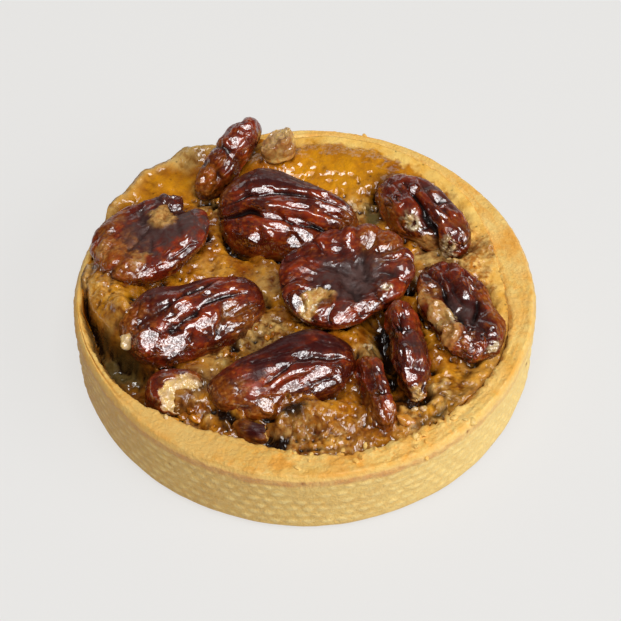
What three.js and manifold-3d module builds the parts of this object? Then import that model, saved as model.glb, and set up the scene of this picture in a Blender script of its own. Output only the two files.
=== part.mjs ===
// Pecan tartlet: a round shortcrust shell, a baked caramel filling, and glazed pecan halves and broken
// pieces sunk into the filling. Millimetres, +Z up, origin at the centre of the underside.
//
// Bearings round the tart are in degrees from +X towards +Y, so the front is at 270.

import * as THREE from "three";
import { mergeVertices } from "three/addons/utils/BufferGeometryUtils.js";
import Module from "manifold-3d";

const wasm = await Module();
wasm.setup();

// ---- Driving dimensions ----------------------------------------------------------------------------

const TART_RADIUS = 45; // outside of the pastry wall
const RIM_HEIGHT = 16.6; // top of the pastry wall
const FLOOR_THICKNESS = 3.8; // pastry under the filling
const FOOT_ROUNDING = 0.9; // bevel where the wall meets the underside
const RIM_ROUNDING = 0.8; // how far the rim's outer edge is rounded over
const INNER_SLOPE = 3; // how much narrower the shell is inside at its floor than at its rim
const LEDGE_FALL = 0.12; // how far the rim drops towards the filling for each millimetre of swell
const CLEARANCE = 0.3; // gap between neighbouring solids

// The rim is thin at the back and left, and wider where the dough was pressed out at the front and right.
const RIM_WIDTH = 2.4;
const RIM_SWELLS = [
  { bearing: 250, spread: 26, width: 4.9 },
  { bearing: 300, spread: 30, width: 2.4 },
  { bearing: 10, spread: 28, width: 3.8 },
  { bearing: 180, spread: 42, width: -0.9 },
];

// Small waves keep the shell's edge from being a true circle.
const RIM_TOP_WAVES = [
  { count: 2, size: 0.16, phase: 0.4 },
  { count: 5, size: 0.14, phase: 2.1 },
  { count: 11, size: 0.08, phase: 4.0 },
];
const WALL_WAVES = [
  { count: 4, size: 0.12, phase: 1.2 },
  { count: 9, size: 0.07, phase: 3.3 },
];

// The filling's level inside and at the wall, and the mounds and hollows in its top.
const FILLING_LEVEL = 15.2;
const FILLING_EDGE_LEVEL = 15.0;
const EDGE_BAND = 12; // how far in from the wall the level changes
const EDGE_DEPTH = 0.9; // rounding of the filling's outer edge
const MOAT = { bearing: 211, spread: 22, depth: 5.6, reach: 6.5 }; // where it shrank from the wall
const LIP = { bearing: 138, spread: 24, thickness: 1.5 }; // where it ran over the rim
const FILLING_SHAPES = [
  { x: 9, y: 35, height: 3.0, along: 15, across: 7.5, yaw: -12 }, // smooth dome at the back
  { x: -29, y: 29, height: 2.6, along: 9, across: 6, yaw: 42 }, // back left mound
  { x: -37, y: 1, height: 3.2, along: 7, across: 5.5, yaw: 80 }, // bulge between two halves at the left
  { x: -1, y: -31, height: 1.5, along: 10, across: 3.6, yaw: 4 }, // caramel mass at the front
  { x: 27, y: -27, height: 0.9, along: 9, across: 4, yaw: 40 }, // front right
  { x: 34, y: 10, height: 1.3, along: 9, across: 5, yaw: 100 }, // right
  { x: 15.5, y: -9, height: -3.2, along: 6, across: 3, yaw: -60 }, // hollow right of the centre
  { x: 16.6, y: -22, height: -3.4, along: 7, across: 1.8, yaw: -80 }, // trench beside the upright piece
];

// ---- Nuts --------------------------------------------------------------------------------------------
// at is the middle of the plane between a nut's dome and its inner face. yaw turns the nut about Z, pitch
// lifts its +X end, and roll turns it about its own length: at 180 the inner face is up.

const DOME_SHARE = 0.72; // of a nut's thickness, how much lies on the domed side
const OUTLINE_POWER = 0.86; // below 1 the outline is fuller than an ellipse
const SECTION_POWER = 0.8; // below 1 the section is fuller than an ellipse
const TAPER = 0.1; // how much narrower the +X end is
const NOTCH_SPREAD = 0.33; // radians of outline taken up by a notch in the +X end

const HALVES = {
  pecan_back_left: { length: 20.5, width: 7.4, thickness: 8.4, yaw: 244, pitch: -18, roll: -4, at: [-15.8, 33.1, 18.8] },
  pecan_left_open: {
    length: 25.2, width: 18.8, thickness: 8, yaw: 46, pitch: 2, roll: 177, notch: 0.2, at: [-30.4, 11.3, 19.8],
  },
  pecan_back_centre: { length: 28.6, width: 20, thickness: 10.5, yaw: -7, pitch: 0, roll: 16, at: [-3.4, 19.2, 16.3] },
  pecan_left_front: { length: 28.5, width: 18, thickness: 10, yaw: 21, pitch: 0, roll: 9, at: [-21.6, -6.9, 15.5] },
  pecan_centre_open: {
    length: 28, width: 20.8, thickness: 7.2, yaw: 33, pitch: 0, roll: 187, notch: 0.12, at: [8.5, 1.3, 19.9],
  },
  pecan_front: { length: 29, width: 16.8, thickness: 10, yaw: 17, pitch: 0, roll: 8, at: [-4.3, -20.7, 14.7] },
  pecan_right_edge: { length: 22, width: 8.6, thickness: 8.6, yaw: -80, pitch: -4, roll: 14, at: [19.3, -15.6, 15.4] },
  pecan_right_open: {
    length: 25.5, width: 14.6, thickness: 8, yaw: -68, pitch: 0, roll: 174, notch: 0.1, at: [30.1, -6.8, 17.9],
  },
  pecan_back_right: { length: 25, width: 14.8, thickness: 9, yaw: -51, pitch: -1, roll: 4, at: [24.8, 19.9, 15.7] },
};

// A broken piece is cut short by a plane: the way it faces in the piece's own frame, and how far out it is.
const PIECES = {
  piece_front_left: {
    length: 11.5, width: 9.4, thickness: 8, yaw: 10, pitch: 0, roll: -6, at: [-24.2, -24.2, 13.6],
    broken: { facing: [0.45, -0.75, 0.5], reach: 2.6 },
  },
  piece_front_edge: { length: 16.5, width: 5.4, thickness: 7.6, yaw: -77, pitch: 0, roll: 0, at: [13.4, -25, 14.8] },
  piece_front_sunk: {
    length: 8.6, width: 4.2, thickness: 4.6, yaw: -12, pitch: 0, roll: 0, at: [-9.3, -32.8, 12.9],
    broken: { facing: [1, 0.2, 0.1], reach: 2.6 },
  },
  piece_back_pale: {
    length: 7.2, width: 6.6, thickness: 7, yaw: 20, pitch: 0, roll: 0, at: [-5.5, 36, 19.2],
    broken: { facing: [-0.3, 0.1, 0.9], reach: 3.6 },
  },
};

// How finely each kind of solid is divided.
const ROUND_SECTORS = 60;
const FILLING_RINGS = 12;
const HALF_DETAIL = { around: 20, lengthwise: 11 };
const PIECE_DETAIL = { around: 14, lengthwise: 8 };
const SEAT_DETAIL = { around: 14, lengthwise: 8, grow: 0.55 };

// ---- Small helpers -----------------------------------------------------------------------------------

const radians = THREE.MathUtils.degToRad;
const { lerp, smoothstep } = THREE.MathUtils;

/** Sum of a few sine waves at an angle round the tart. */
function waves(angle, terms) {
  return terms.reduce((sum, { count, size, phase }) => sum + size * Math.sin(count * angle + phase), 0);
}

/** 1 at the bearing, falling smoothly to 0 on both sides of it. */
function around(angle, { bearing, spread }) {
  const apart = THREE.MathUtils.euclideanModulo(angle - radians(bearing) + Math.PI, 2 * Math.PI) - Math.PI;
  return Math.exp(-((apart / radians(spread)) ** 2));
}

/** 1 at the middle of an ellipse that is turned by yaw, falling smoothly to 0 outside it. */
function hill(x, y, { x: middleX, y: middleY, along, across, yaw }) {
  const cos = Math.cos(radians(yaw));
  const sin = Math.sin(radians(yaw));
  const u = ((x - middleX) * cos + (y - middleY) * sin) / along;
  const v = ((y - middleY) * cos - (x - middleX) * sin) / across;
  return Math.exp(-(u * u + v * v));
}

/** A bell curve of height 1 over an offset from its middle. */
function bell(offset, spread) {
  return Math.exp(-((offset / spread) ** 2));
}

/** A number raised to a power with its sign kept. */
function signedPower(value, power) {
  return Math.sign(value) * Math.abs(value) ** power;
}

/** A bare copy of a geometry with its shared vertices merged. */
function welded(geometry) {
  const bare = geometry.clone();
  bare.deleteAttribute("normal");
  bare.deleteAttribute("uv");
  return mergeVertices(bare, 1e-4);
}

/** The manifold-3d solid of a closed geometry. */
function solidOf(geometry) {
  return new wasm.Manifold(
    new wasm.Mesh({
      numProp: 3,
      vertProperties: geometry.getAttribute("position").array,
      triVerts: new Uint32Array(geometry.index.array),
    }),
  );
}

/** The three.js geometry of a manifold-3d solid. */
function geometryOf(solid) {
  const { vertProperties, triVerts } = solid.getMesh();
  const geometry = new THREE.BufferGeometry();
  geometry.setAttribute("position", new THREE.BufferAttribute(vertProperties, 3));
  geometry.setIndex(new THREE.BufferAttribute(triVerts, 1));
  return geometry;
}

/** A lathe whose profile, a list of [radius, height], may change with the angle round the axis. */
function turned(profileAt) {
  const start = profileAt(0).map(([radius, height]) => new THREE.Vector2(radius, height));
  const geometry = new THREE.LatheGeometry(start, ROUND_SECTORS);
  const position = geometry.getAttribute("position");
  for (let i = 0; i < position.count; i++) {
    const sector = Math.floor(i / start.length) % ROUND_SECTORS;
    const angle = (sector / ROUND_SECTORS) * 2 * Math.PI;
    const [radius, height] = profileAt(angle)[i % start.length];
    position.setXYZ(i, radius * Math.cos(angle), radius * Math.sin(angle), height);
  }
  return welded(geometry);
}

// ---- Pastry shell --------------------------------------------------------------------------------------

const wallRadius = (angle) => TART_RADIUS + waves(angle, WALL_WAVES);
const rimTop = (angle) => RIM_HEIGHT + waves(angle, RIM_TOP_WAVES);

/** Width of the rim's top. */
function rimWidth(angle) {
  return RIM_SWELLS.reduce((sum, swell) => sum + swell.width * around(angle, swell), RIM_WIDTH);
}

/** Inner radius of the shell at a height: it slopes in from the rim to the floor. */
function innerRadius(angle, height) {
  const depth = (rimTop(angle) - height) / (rimTop(angle) - FLOOR_THICKNESS);
  return wallRadius(angle) - rimWidth(angle) - INNER_SLOPE * depth;
}

/** The shell's section, from the middle of the underside round the wall to the middle of the floor. */
function shellProfile(angle) {
  const outside = wallRadius(angle);
  const top = rimTop(angle);
  const ledge = top - LEDGE_FALL * Math.max(0, rimWidth(angle) - RIM_WIDTH);
  return [
    [0, 0],
    [outside - FOOT_ROUNDING, 0],
    [outside - FOOT_ROUNDING * 0.25, FOOT_ROUNDING * 0.55],
    [outside, FOOT_ROUNDING * 1.6],
    [outside, top - RIM_ROUNDING * 1.4],
    [outside - RIM_ROUNDING * 0.3, top - RIM_ROUNDING * 0.35],
    [outside - RIM_ROUNDING, top],
    [innerRadius(angle, top) + 0.4, ledge - 0.05],
    [innerRadius(angle, ledge - 0.4), ledge - 0.4],
    [innerRadius(angle, FLOOR_THICKNESS), FLOOR_THICKNESS],
    [0, FLOOR_THICKNESS],
  ];
}

// ---- Filling ---------------------------------------------------------------------------------------------

/** Height of the filling's top at a radius and an angle. */
function fillingTop(radius, angle) {
  const x = radius * Math.cos(angle);
  const y = radius * Math.sin(angle);
  const toWall = innerRadius(angle, FILLING_EDGE_LEVEL) - radius;
  const level = lerp(FILLING_EDGE_LEVEL, FILLING_LEVEL, smoothstep(toWall, 0, EDGE_BAND));
  const moat = MOAT.depth * around(angle, MOAT) * (1 - smoothstep(toWall, 1.2, MOAT.reach));
  return FILLING_SHAPES.reduce((sum, shape) => sum + shape.height * hill(x, y, shape), level - moat);
}

/** The filling's section: underside, side wall, the lip that lies on the rim, then rings to the middle. */
function fillingProfile(angle) {
  const floor = FLOOR_THICKNESS + CLEARANCE;
  const lip = around(angle, LIP);
  const inEdge = fillingTop(innerRadius(angle, FILLING_EDGE_LEVEL), angle);
  const edge = Math.min(inEdge, rimTop(angle) + 0.4);
  const underLip = lerp(edge - EDGE_DEPTH, rimTop(angle) + CLEARANCE, smoothstep(lip, 0.05, 0.12));
  const side = innerRadius(angle, Math.min(underLip, rimTop(angle))) - CLEARANCE;
  const reach = (rimWidth(angle) + CLEARANCE) * smoothstep(lip, 0.2, 0.8);
  const top = lerp(edge, rimTop(angle) + CLEARANCE + LIP.thickness, smoothstep(lip, 0.05, 0.6));
  const outer = side + reach;
  const rings = Array.from({ length: FILLING_RINGS - 1 }, (_, ring) => {
    const radius = outer * (1 - (ring + 1) / FILLING_RINGS);
    return [radius, fillingTop(radius, angle)];
  });
  return [
    [0, floor],
    [innerRadius(angle, floor) - CLEARANCE, floor],
    [side, underLip],
    [outer - 0.05, underLip + 0.02],
    [outer, (underLip + top) / 2],
    [outer - EDGE_DEPTH * 0.7, top],
    ...rings,
    [0, fillingTop(0, 0)],
  ];
}

// ---- Nuts: shape -----------------------------------------------------------------------------------------

/** Grooves of the dome, as a share of its height: a deep one down the middle and one along each lobe. */
function domeGrooves(across) {
  return 0.34 * bell(across, 0.13) + 0.12 * bell(Math.abs(across) - 0.56, 0.16);
}

/** Hollows of the inner face, as a share of its height: a trough inside each margin and a cleft between. */
function faceHollows(across, along) {
  return (0.85 * bell(Math.abs(across) - 0.5, 0.22) + 0.5 * bell(across, 0.12)) * (1 - 0.7 * along * along);
}

/** A pecan half made from a unit sphere whose poles are its two ends. */
function nut({ length, width, thickness, notch = 0, broken }, { around: sectors, lengthwise, grow = 0 }) {
  const geometry = new THREE.SphereGeometry(1, sectors, lengthwise).rotateZ(-Math.PI / 2);
  const position = geometry.getAttribute("position");
  const point = new THREE.Vector3();
  for (let i = 0; i < position.count; i++) {
    point.fromBufferAttribute(position, i);
    const girth = Math.hypot(point.y, point.z);
    const turn = Math.atan2(point.z, point.y);
    const outline = Math.atan2(point.y, point.x);
    const domed = point.z >= 0;
    const along = signedPower(point.x, OUTLINE_POWER) * (1 - notch * bell(outline, NOTCH_SPREAD));
    const across = Math.cos(turn);
    const relief = grow ? 0 : (domed ? domeGrooves : faceHollows)(across, along);
    const share = domed ? DOME_SHARE : DOME_SHARE - 1;
    point.set(
      along * (length / 2 + grow),
      across * girth ** OUTLINE_POWER * (1 - TAPER * along) * (width / 2 + grow),
      girth ** SECTION_POWER * Math.abs(Math.sin(turn)) ** SECTION_POWER * (1 - relief) * share * (thickness + 2 * grow),
    );
    if (broken) flatten(point, broken, grow);
    position.setXYZ(i, point.x, point.y, point.z);
  }
  return welded(geometry);
}

/** Moves a point that lies past a broken face back onto that face. */
function flatten(point, { facing, reach }, grow) {
  const normal = new THREE.Vector3(...facing).normalize();
  const past = point.dot(normal) - (reach + grow);
  if (past > 0) point.addScaledVector(normal, -past);
}

/** Puts a nut's mesh where its row says. */
function place(mesh, { yaw, pitch, roll, at }) {
  mesh.rotation.set(radians(roll), -radians(pitch), radians(yaw), "ZYX");
  mesh.position.set(...at);
  mesh.updateMatrix();
}

// ---- Materials -------------------------------------------------------------------------------------------

const pastry = new THREE.MeshStandardMaterial({ color: "#d8b06a", roughness: 0.85, metalness: 0 });
const caramel = new THREE.MeshStandardMaterial({ color: "#a8691f", roughness: 0.35, metalness: 0 });
const glazedSkin = new THREE.MeshStandardMaterial({ color: "#5a1f0e", roughness: 0.2, metalness: 0 });
const paleKernel = new THREE.MeshStandardMaterial({ color: "#b98d52", roughness: 0.4, metalness: 0 });

// ---- Assembly --------------------------------------------------------------------------------------------

const tartlet = new THREE.Group();

/** Adds one named mesh to the tartlet. */
function add(name, geometry, material) {
  geometry.computeVertexNormals();
  const mesh = new THREE.Mesh(geometry, material);
  mesh.name = name;
  tartlet.add(mesh);
  return mesh;
}

/** Adds each nut of a table, and returns the seats they need in the filling, a little larger all round. */
function addNuts(table, detail) {
  return Object.entries(table).map(([name, row]) => {
    const mesh = add(name, nut(row, detail), name === "piece_back_pale" ? paleKernel : glazedSkin);
    place(mesh, row);
    return solidOf(nut(row, SEAT_DETAIL).applyMatrix4(mesh.matrix));
  });
}

add("crust", turned(shellProfile), pastry);
const seats = [...addNuts(HALVES, HALF_DETAIL), ...addNuts(PIECES, PIECE_DETAIL)];
const sunk = solidOf(turned(fillingProfile)).subtract(wasm.Manifold.union(seats));
const [filling] = sunk.decompose().sort((a, b) => b.volume() - a.volume());
add("filling", geometryOf(filling), caramel);

export default tartlet;
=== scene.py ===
"""Pecan tartlet: a shortcrust shell, a baked caramel filling, and glazed pecan halves and pieces.

Lengths are in millimetres until a mesh is made, when they become metres. Bearings round the tartlet run
from +X towards +Y in degrees, so the front is at 270.
"""

import functools
import itertools
import logging
import math
from dataclasses import dataclass, field
from enum import Enum

import bmesh
import bpy
import numpy as np
from mathutils import Euler, Matrix, Vector
from mathutils.bvhtree import BVHTree


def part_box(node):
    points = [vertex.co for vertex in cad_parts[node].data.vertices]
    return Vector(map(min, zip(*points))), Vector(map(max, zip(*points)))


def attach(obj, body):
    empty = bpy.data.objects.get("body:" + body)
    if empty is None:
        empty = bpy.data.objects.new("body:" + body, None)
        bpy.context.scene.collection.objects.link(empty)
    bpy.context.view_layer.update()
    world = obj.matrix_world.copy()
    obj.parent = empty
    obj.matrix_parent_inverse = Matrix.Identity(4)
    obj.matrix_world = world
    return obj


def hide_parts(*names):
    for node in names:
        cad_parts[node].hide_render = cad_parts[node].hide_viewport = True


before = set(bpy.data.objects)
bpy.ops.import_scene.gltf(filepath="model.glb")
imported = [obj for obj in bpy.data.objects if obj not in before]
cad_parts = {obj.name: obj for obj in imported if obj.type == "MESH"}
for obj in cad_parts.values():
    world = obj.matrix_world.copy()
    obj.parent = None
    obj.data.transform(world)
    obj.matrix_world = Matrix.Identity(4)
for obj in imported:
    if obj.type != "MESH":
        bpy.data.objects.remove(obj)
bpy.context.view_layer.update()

MM = 0.001
TURN = 2 * math.pi
BODY = "root"
# Farther than any two points of the tartlet lie apart, in millimetres.
FAR = 99.0
# From where a place on the table is looked down on, in metres.
LOOKOUT = Vector((0, 0, 0.05))
DOWN = Vector((0, 0, -1))

Array = np.ndarray
Colour = tuple[float, float, float, float]
Point = tuple[float, float, float]

log = logging.getLogger("pecan_tartlet")


# ---- Rows and curves ---------------------------------------------------------------------------------


def rows(kind: type, *values: tuple) -> tuple:
    """Return one object of a kind for each row of its values."""
    return tuple(kind(*row) for row in values)


def grouped(kind: type, names: type[Enum], **groups: tuple) -> tuple:
    """Return one object of a kind for each row of its values, grouped under the names that come first."""
    return tuple(kind(names[name.upper()], *row) for name, group in groups.items() for row in group)


def bell(offset: Array, spread: float) -> Array:
    """Return a bell curve of height 1 over an offset from its middle."""
    return np.exp(-((offset / spread) ** 2))


def smoothstep(value: Array, low: float, high: float) -> Array:
    """Return 0 below low, 1 above high, and a smooth rise between them."""
    share = np.clip((value - low) / (high - low), 0, 1)
    return share * share * (3 - 2 * share)


def lerp(start: Array, end: Array, share: Array) -> Array:
    """Return the value that lies share of the way from start to end."""
    return start + (end - start) * share


def clamped(value: Array) -> Array:
    """Return a number kept from 0 to 1."""
    return np.clip(value, 0, 1)


def dome(distance: Array, reach: float) -> Array:
    """Return the height of a round dome over the distance from its middle, 0 past its reach."""
    return np.sqrt(np.maximum(0, 1 - (distance / reach) ** 2))


def signed_power(value: Array, power: float) -> Array:
    """Return a number raised to a power with its sign kept."""
    return np.sign(value) * np.abs(value) ** power


def blurred(values: Array, passes: int) -> Array:
    """Return a grid of numbers smoothed by so many passes over its neighbours."""
    for _ in range(passes):
        wide = np.pad(values, 1, mode="edge")
        values = (wide[:-2, 1:-1] + wide[2:, 1:-1] + wide[1:-1, :-2] + wide[1:-1, 2:] + 4 * values) / 8
    return values


def around(angle: Array, bearing: float, spread: float) -> Array:
    """Return 1 at a bearing, falling smoothly to 0 on both sides of it.

    Args:
        angle: Angles round the tartlet, in radians.
        bearing: Where the middle is, in degrees.
        spread: How wide the bell is, in degrees.

    Returns:
        One value for each angle.
    """
    apart = (angle - math.radians(bearing) + math.pi) % TURN - math.pi
    return bell(apart, math.radians(spread))


class Grain:
    """Seeded smooth noise, from about -1 to 1, at points given in millimetres."""

    SIZE = 32
    GAIN = 1.7
    LAYER_SHIFT = 7.3

    def __init__(self, seed: int) -> None:
        """Draw the lattice of gradients.

        Args:
            seed: Seed of the random draws.
        """
        draws = np.random.default_rng(seed)
        gradients = draws.normal(size=(self.SIZE, self.SIZE, self.SIZE, 3))
        self.gradients = gradients / np.linalg.norm(gradients, axis=-1, keepdims=True)
        self.seeds = draws.random((self.SIZE, self.SIZE, self.SIZE, 4))

    def at(self, points: Array, size: float | Point) -> Array:
        """Return one layer of noise.

        Args:
            points: Points of shape (..., 3).
            size: Size of a blotch, the same along each axis or one for each.

        Returns:
            One value for each point.
        """
        scaled = points / np.asarray(size, float)
        cell = np.floor(scaled).astype(int)
        offset = scaled - cell
        fade = offset**3 * (offset * (offset * 6 - 15) + 10)
        total = np.zeros(points.shape[:-1])
        for corner in itertools.product((0, 1), repeat=3):
            x, y, z = np.moveaxis((cell + corner) % self.SIZE, -1, 0)
            slope = (self.gradients[x, y, z] * (offset - corner)).sum(-1)
            total += slope * np.where(corner, fade, 1 - fade).prod(-1)
        return total * self.GAIN

    def layers(self, points: Array, size: float | Point, count: int = 3, keep: float = 0.5) -> Array:
        """Return several layers of noise, each half the size of the one before.

        Args:
            points: Points of shape (..., 3).
            size: Size of the largest blotches.
            count: How many layers are added.
            keep: Height of each layer as a share of the one before.

        Returns:
            One value for each point.
        """
        total = np.zeros(points.shape[:-1])
        for layer in range(count):
            step = 0.5**layer
            total += keep**layer * self.at(points + self.LAYER_SHIFT * layer, np.asarray(size, float) * step)
        return total

    def cells(self, points: Array, size: float) -> tuple[Array, Array]:
        """Return how far each point is from the nearest of many scattered seeds.

        Args:
            points: Points of shape (..., 3).
            size: Mean distance between seeds.

        Returns:
            The distance as a share of size, and a number from 0 to 1 that belongs to the nearest seed.
        """
        scaled = points / size
        cell = np.floor(scaled).astype(int)
        nearest = np.full(points.shape[:-1], np.inf)
        number = np.zeros(points.shape[:-1])
        for step in itertools.product((-1, 0, 1), repeat=3):
            x, y, z = np.moveaxis((cell + step) % self.SIZE, -1, 0)
            seeds = self.seeds[x, y, z]
            distance = np.linalg.norm(cell + step + seeds[..., :3] - scaled, axis=-1)
            closer = distance < nearest
            nearest = np.where(closer, distance, nearest)
            number = np.where(closer, seeds[..., 3], number)
        return nearest, number


@dataclass(frozen=True)
class Noise:
    """Layers of a grain: how far they are shifted from others, their size, their number and their fall."""

    shift: float
    size: float | Point
    count: int = 1
    keep: float = 0.5

    def of(self, grain: Grain, points: Array) -> Array:
        """Return the noise at each point."""
        return grain.layers(points + self.shift, self.size, self.count, self.keep)


# ---- Meshes ------------------------------------------------------------------------------------------


@dataclass
class Draft:
    """Points and faces of a mesh in the making, in millimetres."""

    points: Array
    faces: list[tuple[int, ...]]

    @classmethod
    def of_rings(cls, rings: Array, start: Array, end: Array) -> "Draft":
        """Join rings of points, each closed on itself, into one closed skin with a point at either end.

        Args:
            rings: Points of shape (rings, sectors, 3).
            start: The point that closes the first ring.
            end: The point that closes the last ring.

        Returns:
            The skin, whose faces point out if each ring turns anticlockwise seen from the end.
        """
        count, sectors = rings.shape[:2]
        points = np.concatenate([rings.reshape(-1, 3), [start, end]])
        near = np.arange(sectors)
        far = (near + 1) % sectors
        first, last = count * sectors, count * sectors + 1
        base = np.arange(count - 1)[:, None] * sectors
        quads = np.stack([base + near, base + far, base + sectors + far, base + sectors + near], -1)
        top = (count - 1) * sectors
        caps = [(first, int(b), int(a)) for a, b in zip(near, far)]
        caps += [(last, top + int(a), top + int(b)) for a, b in zip(near, far)]
        return cls(points, [*map(tuple, quads.reshape(-1, 4).tolist()), *caps])

    def joined(self, other: "Draft") -> "Draft":
        """Join two drafts.

        Args:
            other: The draft that is added.

        Returns:
            A draft that holds both.
        """
        shift = len(self.points)
        moved = [tuple(index + shift for index in face) for face in other.faces]
        return Draft(np.concatenate([self.points, other.points]), self.faces + moved)

    def piece(self, name: str) -> bpy.types.Object:
        """Make the mesh object.

        Args:
            name: Name of the piece.

        Returns:
            The object, smooth shaded, linked to the scene.
        """
        mesh = bpy.data.meshes.new(name)
        mesh.from_pydata((self.points * MM).tolist(), [], self.faces)
        mesh.validate()
        mesh.shade_smooth()
        made = bpy.data.objects.new(name, mesh)
        bpy.context.scene.collection.objects.link(made)
        return made


def paint(piece: bpy.types.Object, name: str, values: Array) -> None:
    """Store one number for each point of a piece, for its material to read.

    Args:
        piece: The mesh object.
        name: Name of the attribute.
        values: One value for each point.
    """
    layer = piece.data.attributes.new(name, "FLOAT", "POINT")
    layer.data.foreach_set("value", np.ascontiguousarray(values, np.float32).ravel())


def normals_of(rings: Array) -> Array:
    """Return the outward normals of a grid of rings.

    Args:
        rings: Points of shape (rings, sectors, 3).

    Returns:
        One direction of length 1 for each point.
    """
    wrapped = np.concatenate([rings[:, -1:], rings, rings[:, :1]], 1)
    normal = np.cross(wrapped[:, 2:] - wrapped[:, :-2], np.gradient(rings, axis=0))
    return normal / np.maximum(np.linalg.norm(normal, axis=-1, keepdims=True), 1e-9)


def settle(piece: bpy.types.Object, slot: str, *nodes: str) -> bpy.types.Object:
    """Fix a piece to the tartlet.

    Args:
        piece: The piece.
        slot: Its material slot; not used.
        nodes: The solids that it stands for.

    Returns:
        The piece.
    """
    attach(piece, BODY)
    if nodes:
        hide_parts(*nodes)
    return piece


# ---- Finishes ----------------------------------------------------------------------------------------


def tint(red: int, green: int, blue: int) -> Colour:
    """Return the linear colour of red, green and blue levels, which are given from 0 to 255.

    Args:
        red: The level of red.
        green: The level of green.
        blue: The level of blue.

    Returns:
        Red, green, blue and full cover.
    """
    levels = (level / 255 for level in (red, green, blue))
    linear = [level / 12.92 if level <= 0.04045 else ((level + 0.055) / 1.055) ** 2.4 for level in levels]
    return (*linear, 1.0)


class Board:
    """A node tree that is being wired."""

    def __init__(self, tree: bpy.types.NodeTree) -> None:
        """Keep the tree.

        Args:
            tree: Node tree of a material, a world or a group.
        """
        self.tree = tree

    def node(self, kind: str, inputs: dict | None = None, **settings: object) -> bpy.types.Node:
        """Add a node.

        Args:
            kind: Blender's name for the kind of node.
            inputs: What each input is set to: a plain value, or a socket that is linked to it.
            settings: Properties of the node.

        Returns:
            The node.
        """
        made = self.tree.nodes.new(kind)
        for name, value in settings.items():
            setattr(made, name, value)
        for name, value in (inputs or {}).items():
            if isinstance(value, bpy.types.NodeSocket):
                self.tree.links.new(value, made.inputs[name])
            else:
                made.inputs[name].default_value = value
        return made

    def mask(self, name: str) -> bpy.types.NodeSocket:
        """Return the numbers that a mesh holds under a name."""
        return self.node("ShaderNodeAttribute", attribute_name=name).outputs["Fac"]

    def mix(self, share: object, first: object, second: object) -> bpy.types.NodeSocket:
        """Return the colour that lies share of the way from the first to the second."""
        return self.node("ShaderNodeMix", {0: share, 6: first, 7: second}, data_type="RGBA").outputs[2]

    def math(self, operation: str, first: object, second: object) -> bpy.types.NodeSocket:
        """Return the sum, product or other result of two numbers, kept from 0 to 1."""
        made = self.node("ShaderNodeMath", {0: first, 1: second}, operation=operation, use_clamp=True)
        return made.outputs[0]

    def layered(self, colour: object, *layers: tuple) -> bpy.types.NodeSocket:
        """Lay colours over one another.

        Args:
            colour: The colour at the bottom.
            layers: For each layer its colour, and its shares, which are multiplied: numbers, sockets or
                names of masks.

        Returns:
            The colour on top.
        """
        for paint_on, *shares in layers:
            found = [self.mask(share) if isinstance(share, str) else share for share in shares]
            colour = self.mix(functools.reduce(self.times, found), colour, paint_on)
        return colour

    def times(self, first: object, second: object) -> bpy.types.NodeSocket:
        """Return the product of two numbers."""
        return self.math("MULTIPLY", first, second)

    def place(self) -> bpy.types.NodeSocket:
        """Return the place on the piece, in metres."""
        return self.node("ShaderNodeTexCoord").outputs["Object"]

    def smooth(self, value: object, low: object, high: object) -> bpy.types.NodeSocket:
        """Return 0 at low, 1 at high, and a smooth change between them."""
        wanted = {"Value": value, "From Min": low, "From Max": high}
        return self.node("ShaderNodeMapRange", wanted, interpolation_type="SMOOTHSTEP").outputs[0]

    def between(self, share: object, low: float, high: float) -> bpy.types.NodeSocket:
        """Return the number that lies share of the way from low to high."""
        return self.node("ShaderNodeMapRange", {"Value": share, "To Min": low, "To Max": high}).outputs[0]

    def use(self, group: bpy.types.NodeTree, **inputs: object) -> bpy.types.NodeSocket:
        """Place a node group with its own values, and return what it puts out."""
        return self.node("ShaderNodeGroup", inputs, node_tree=group).outputs[0]


@dataclass(frozen=True)
class Effect:
    """A shader node group that several finishes place with their own values."""

    name: str
    inputs: tuple[tuple[str, str, float], ...]
    output: str

    def begin(self) -> tuple[Board, bpy.types.Node, bpy.types.Node]:
        """Make the group with its named inputs and its output.

        Returns:
            The board to wire it on, its input node and its output node.
        """
        group = bpy.data.node_groups.new(self.name, "ShaderNodeTree")
        for name, kind, value in self.inputs:
            socket = group.interface.new_socket(name, in_out="INPUT", socket_type=kind)
            socket.default_value = value
        group.interface.new_socket(self.output, in_out="OUTPUT", socket_type="NodeSocketFloat")
        board = Board(group)
        return board, board.node("NodeGroupInput"), board.node("NodeGroupOutput")


NUMBER = "NodeSocketFloat"
DIRECTION = "NodeSocketVector"


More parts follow.
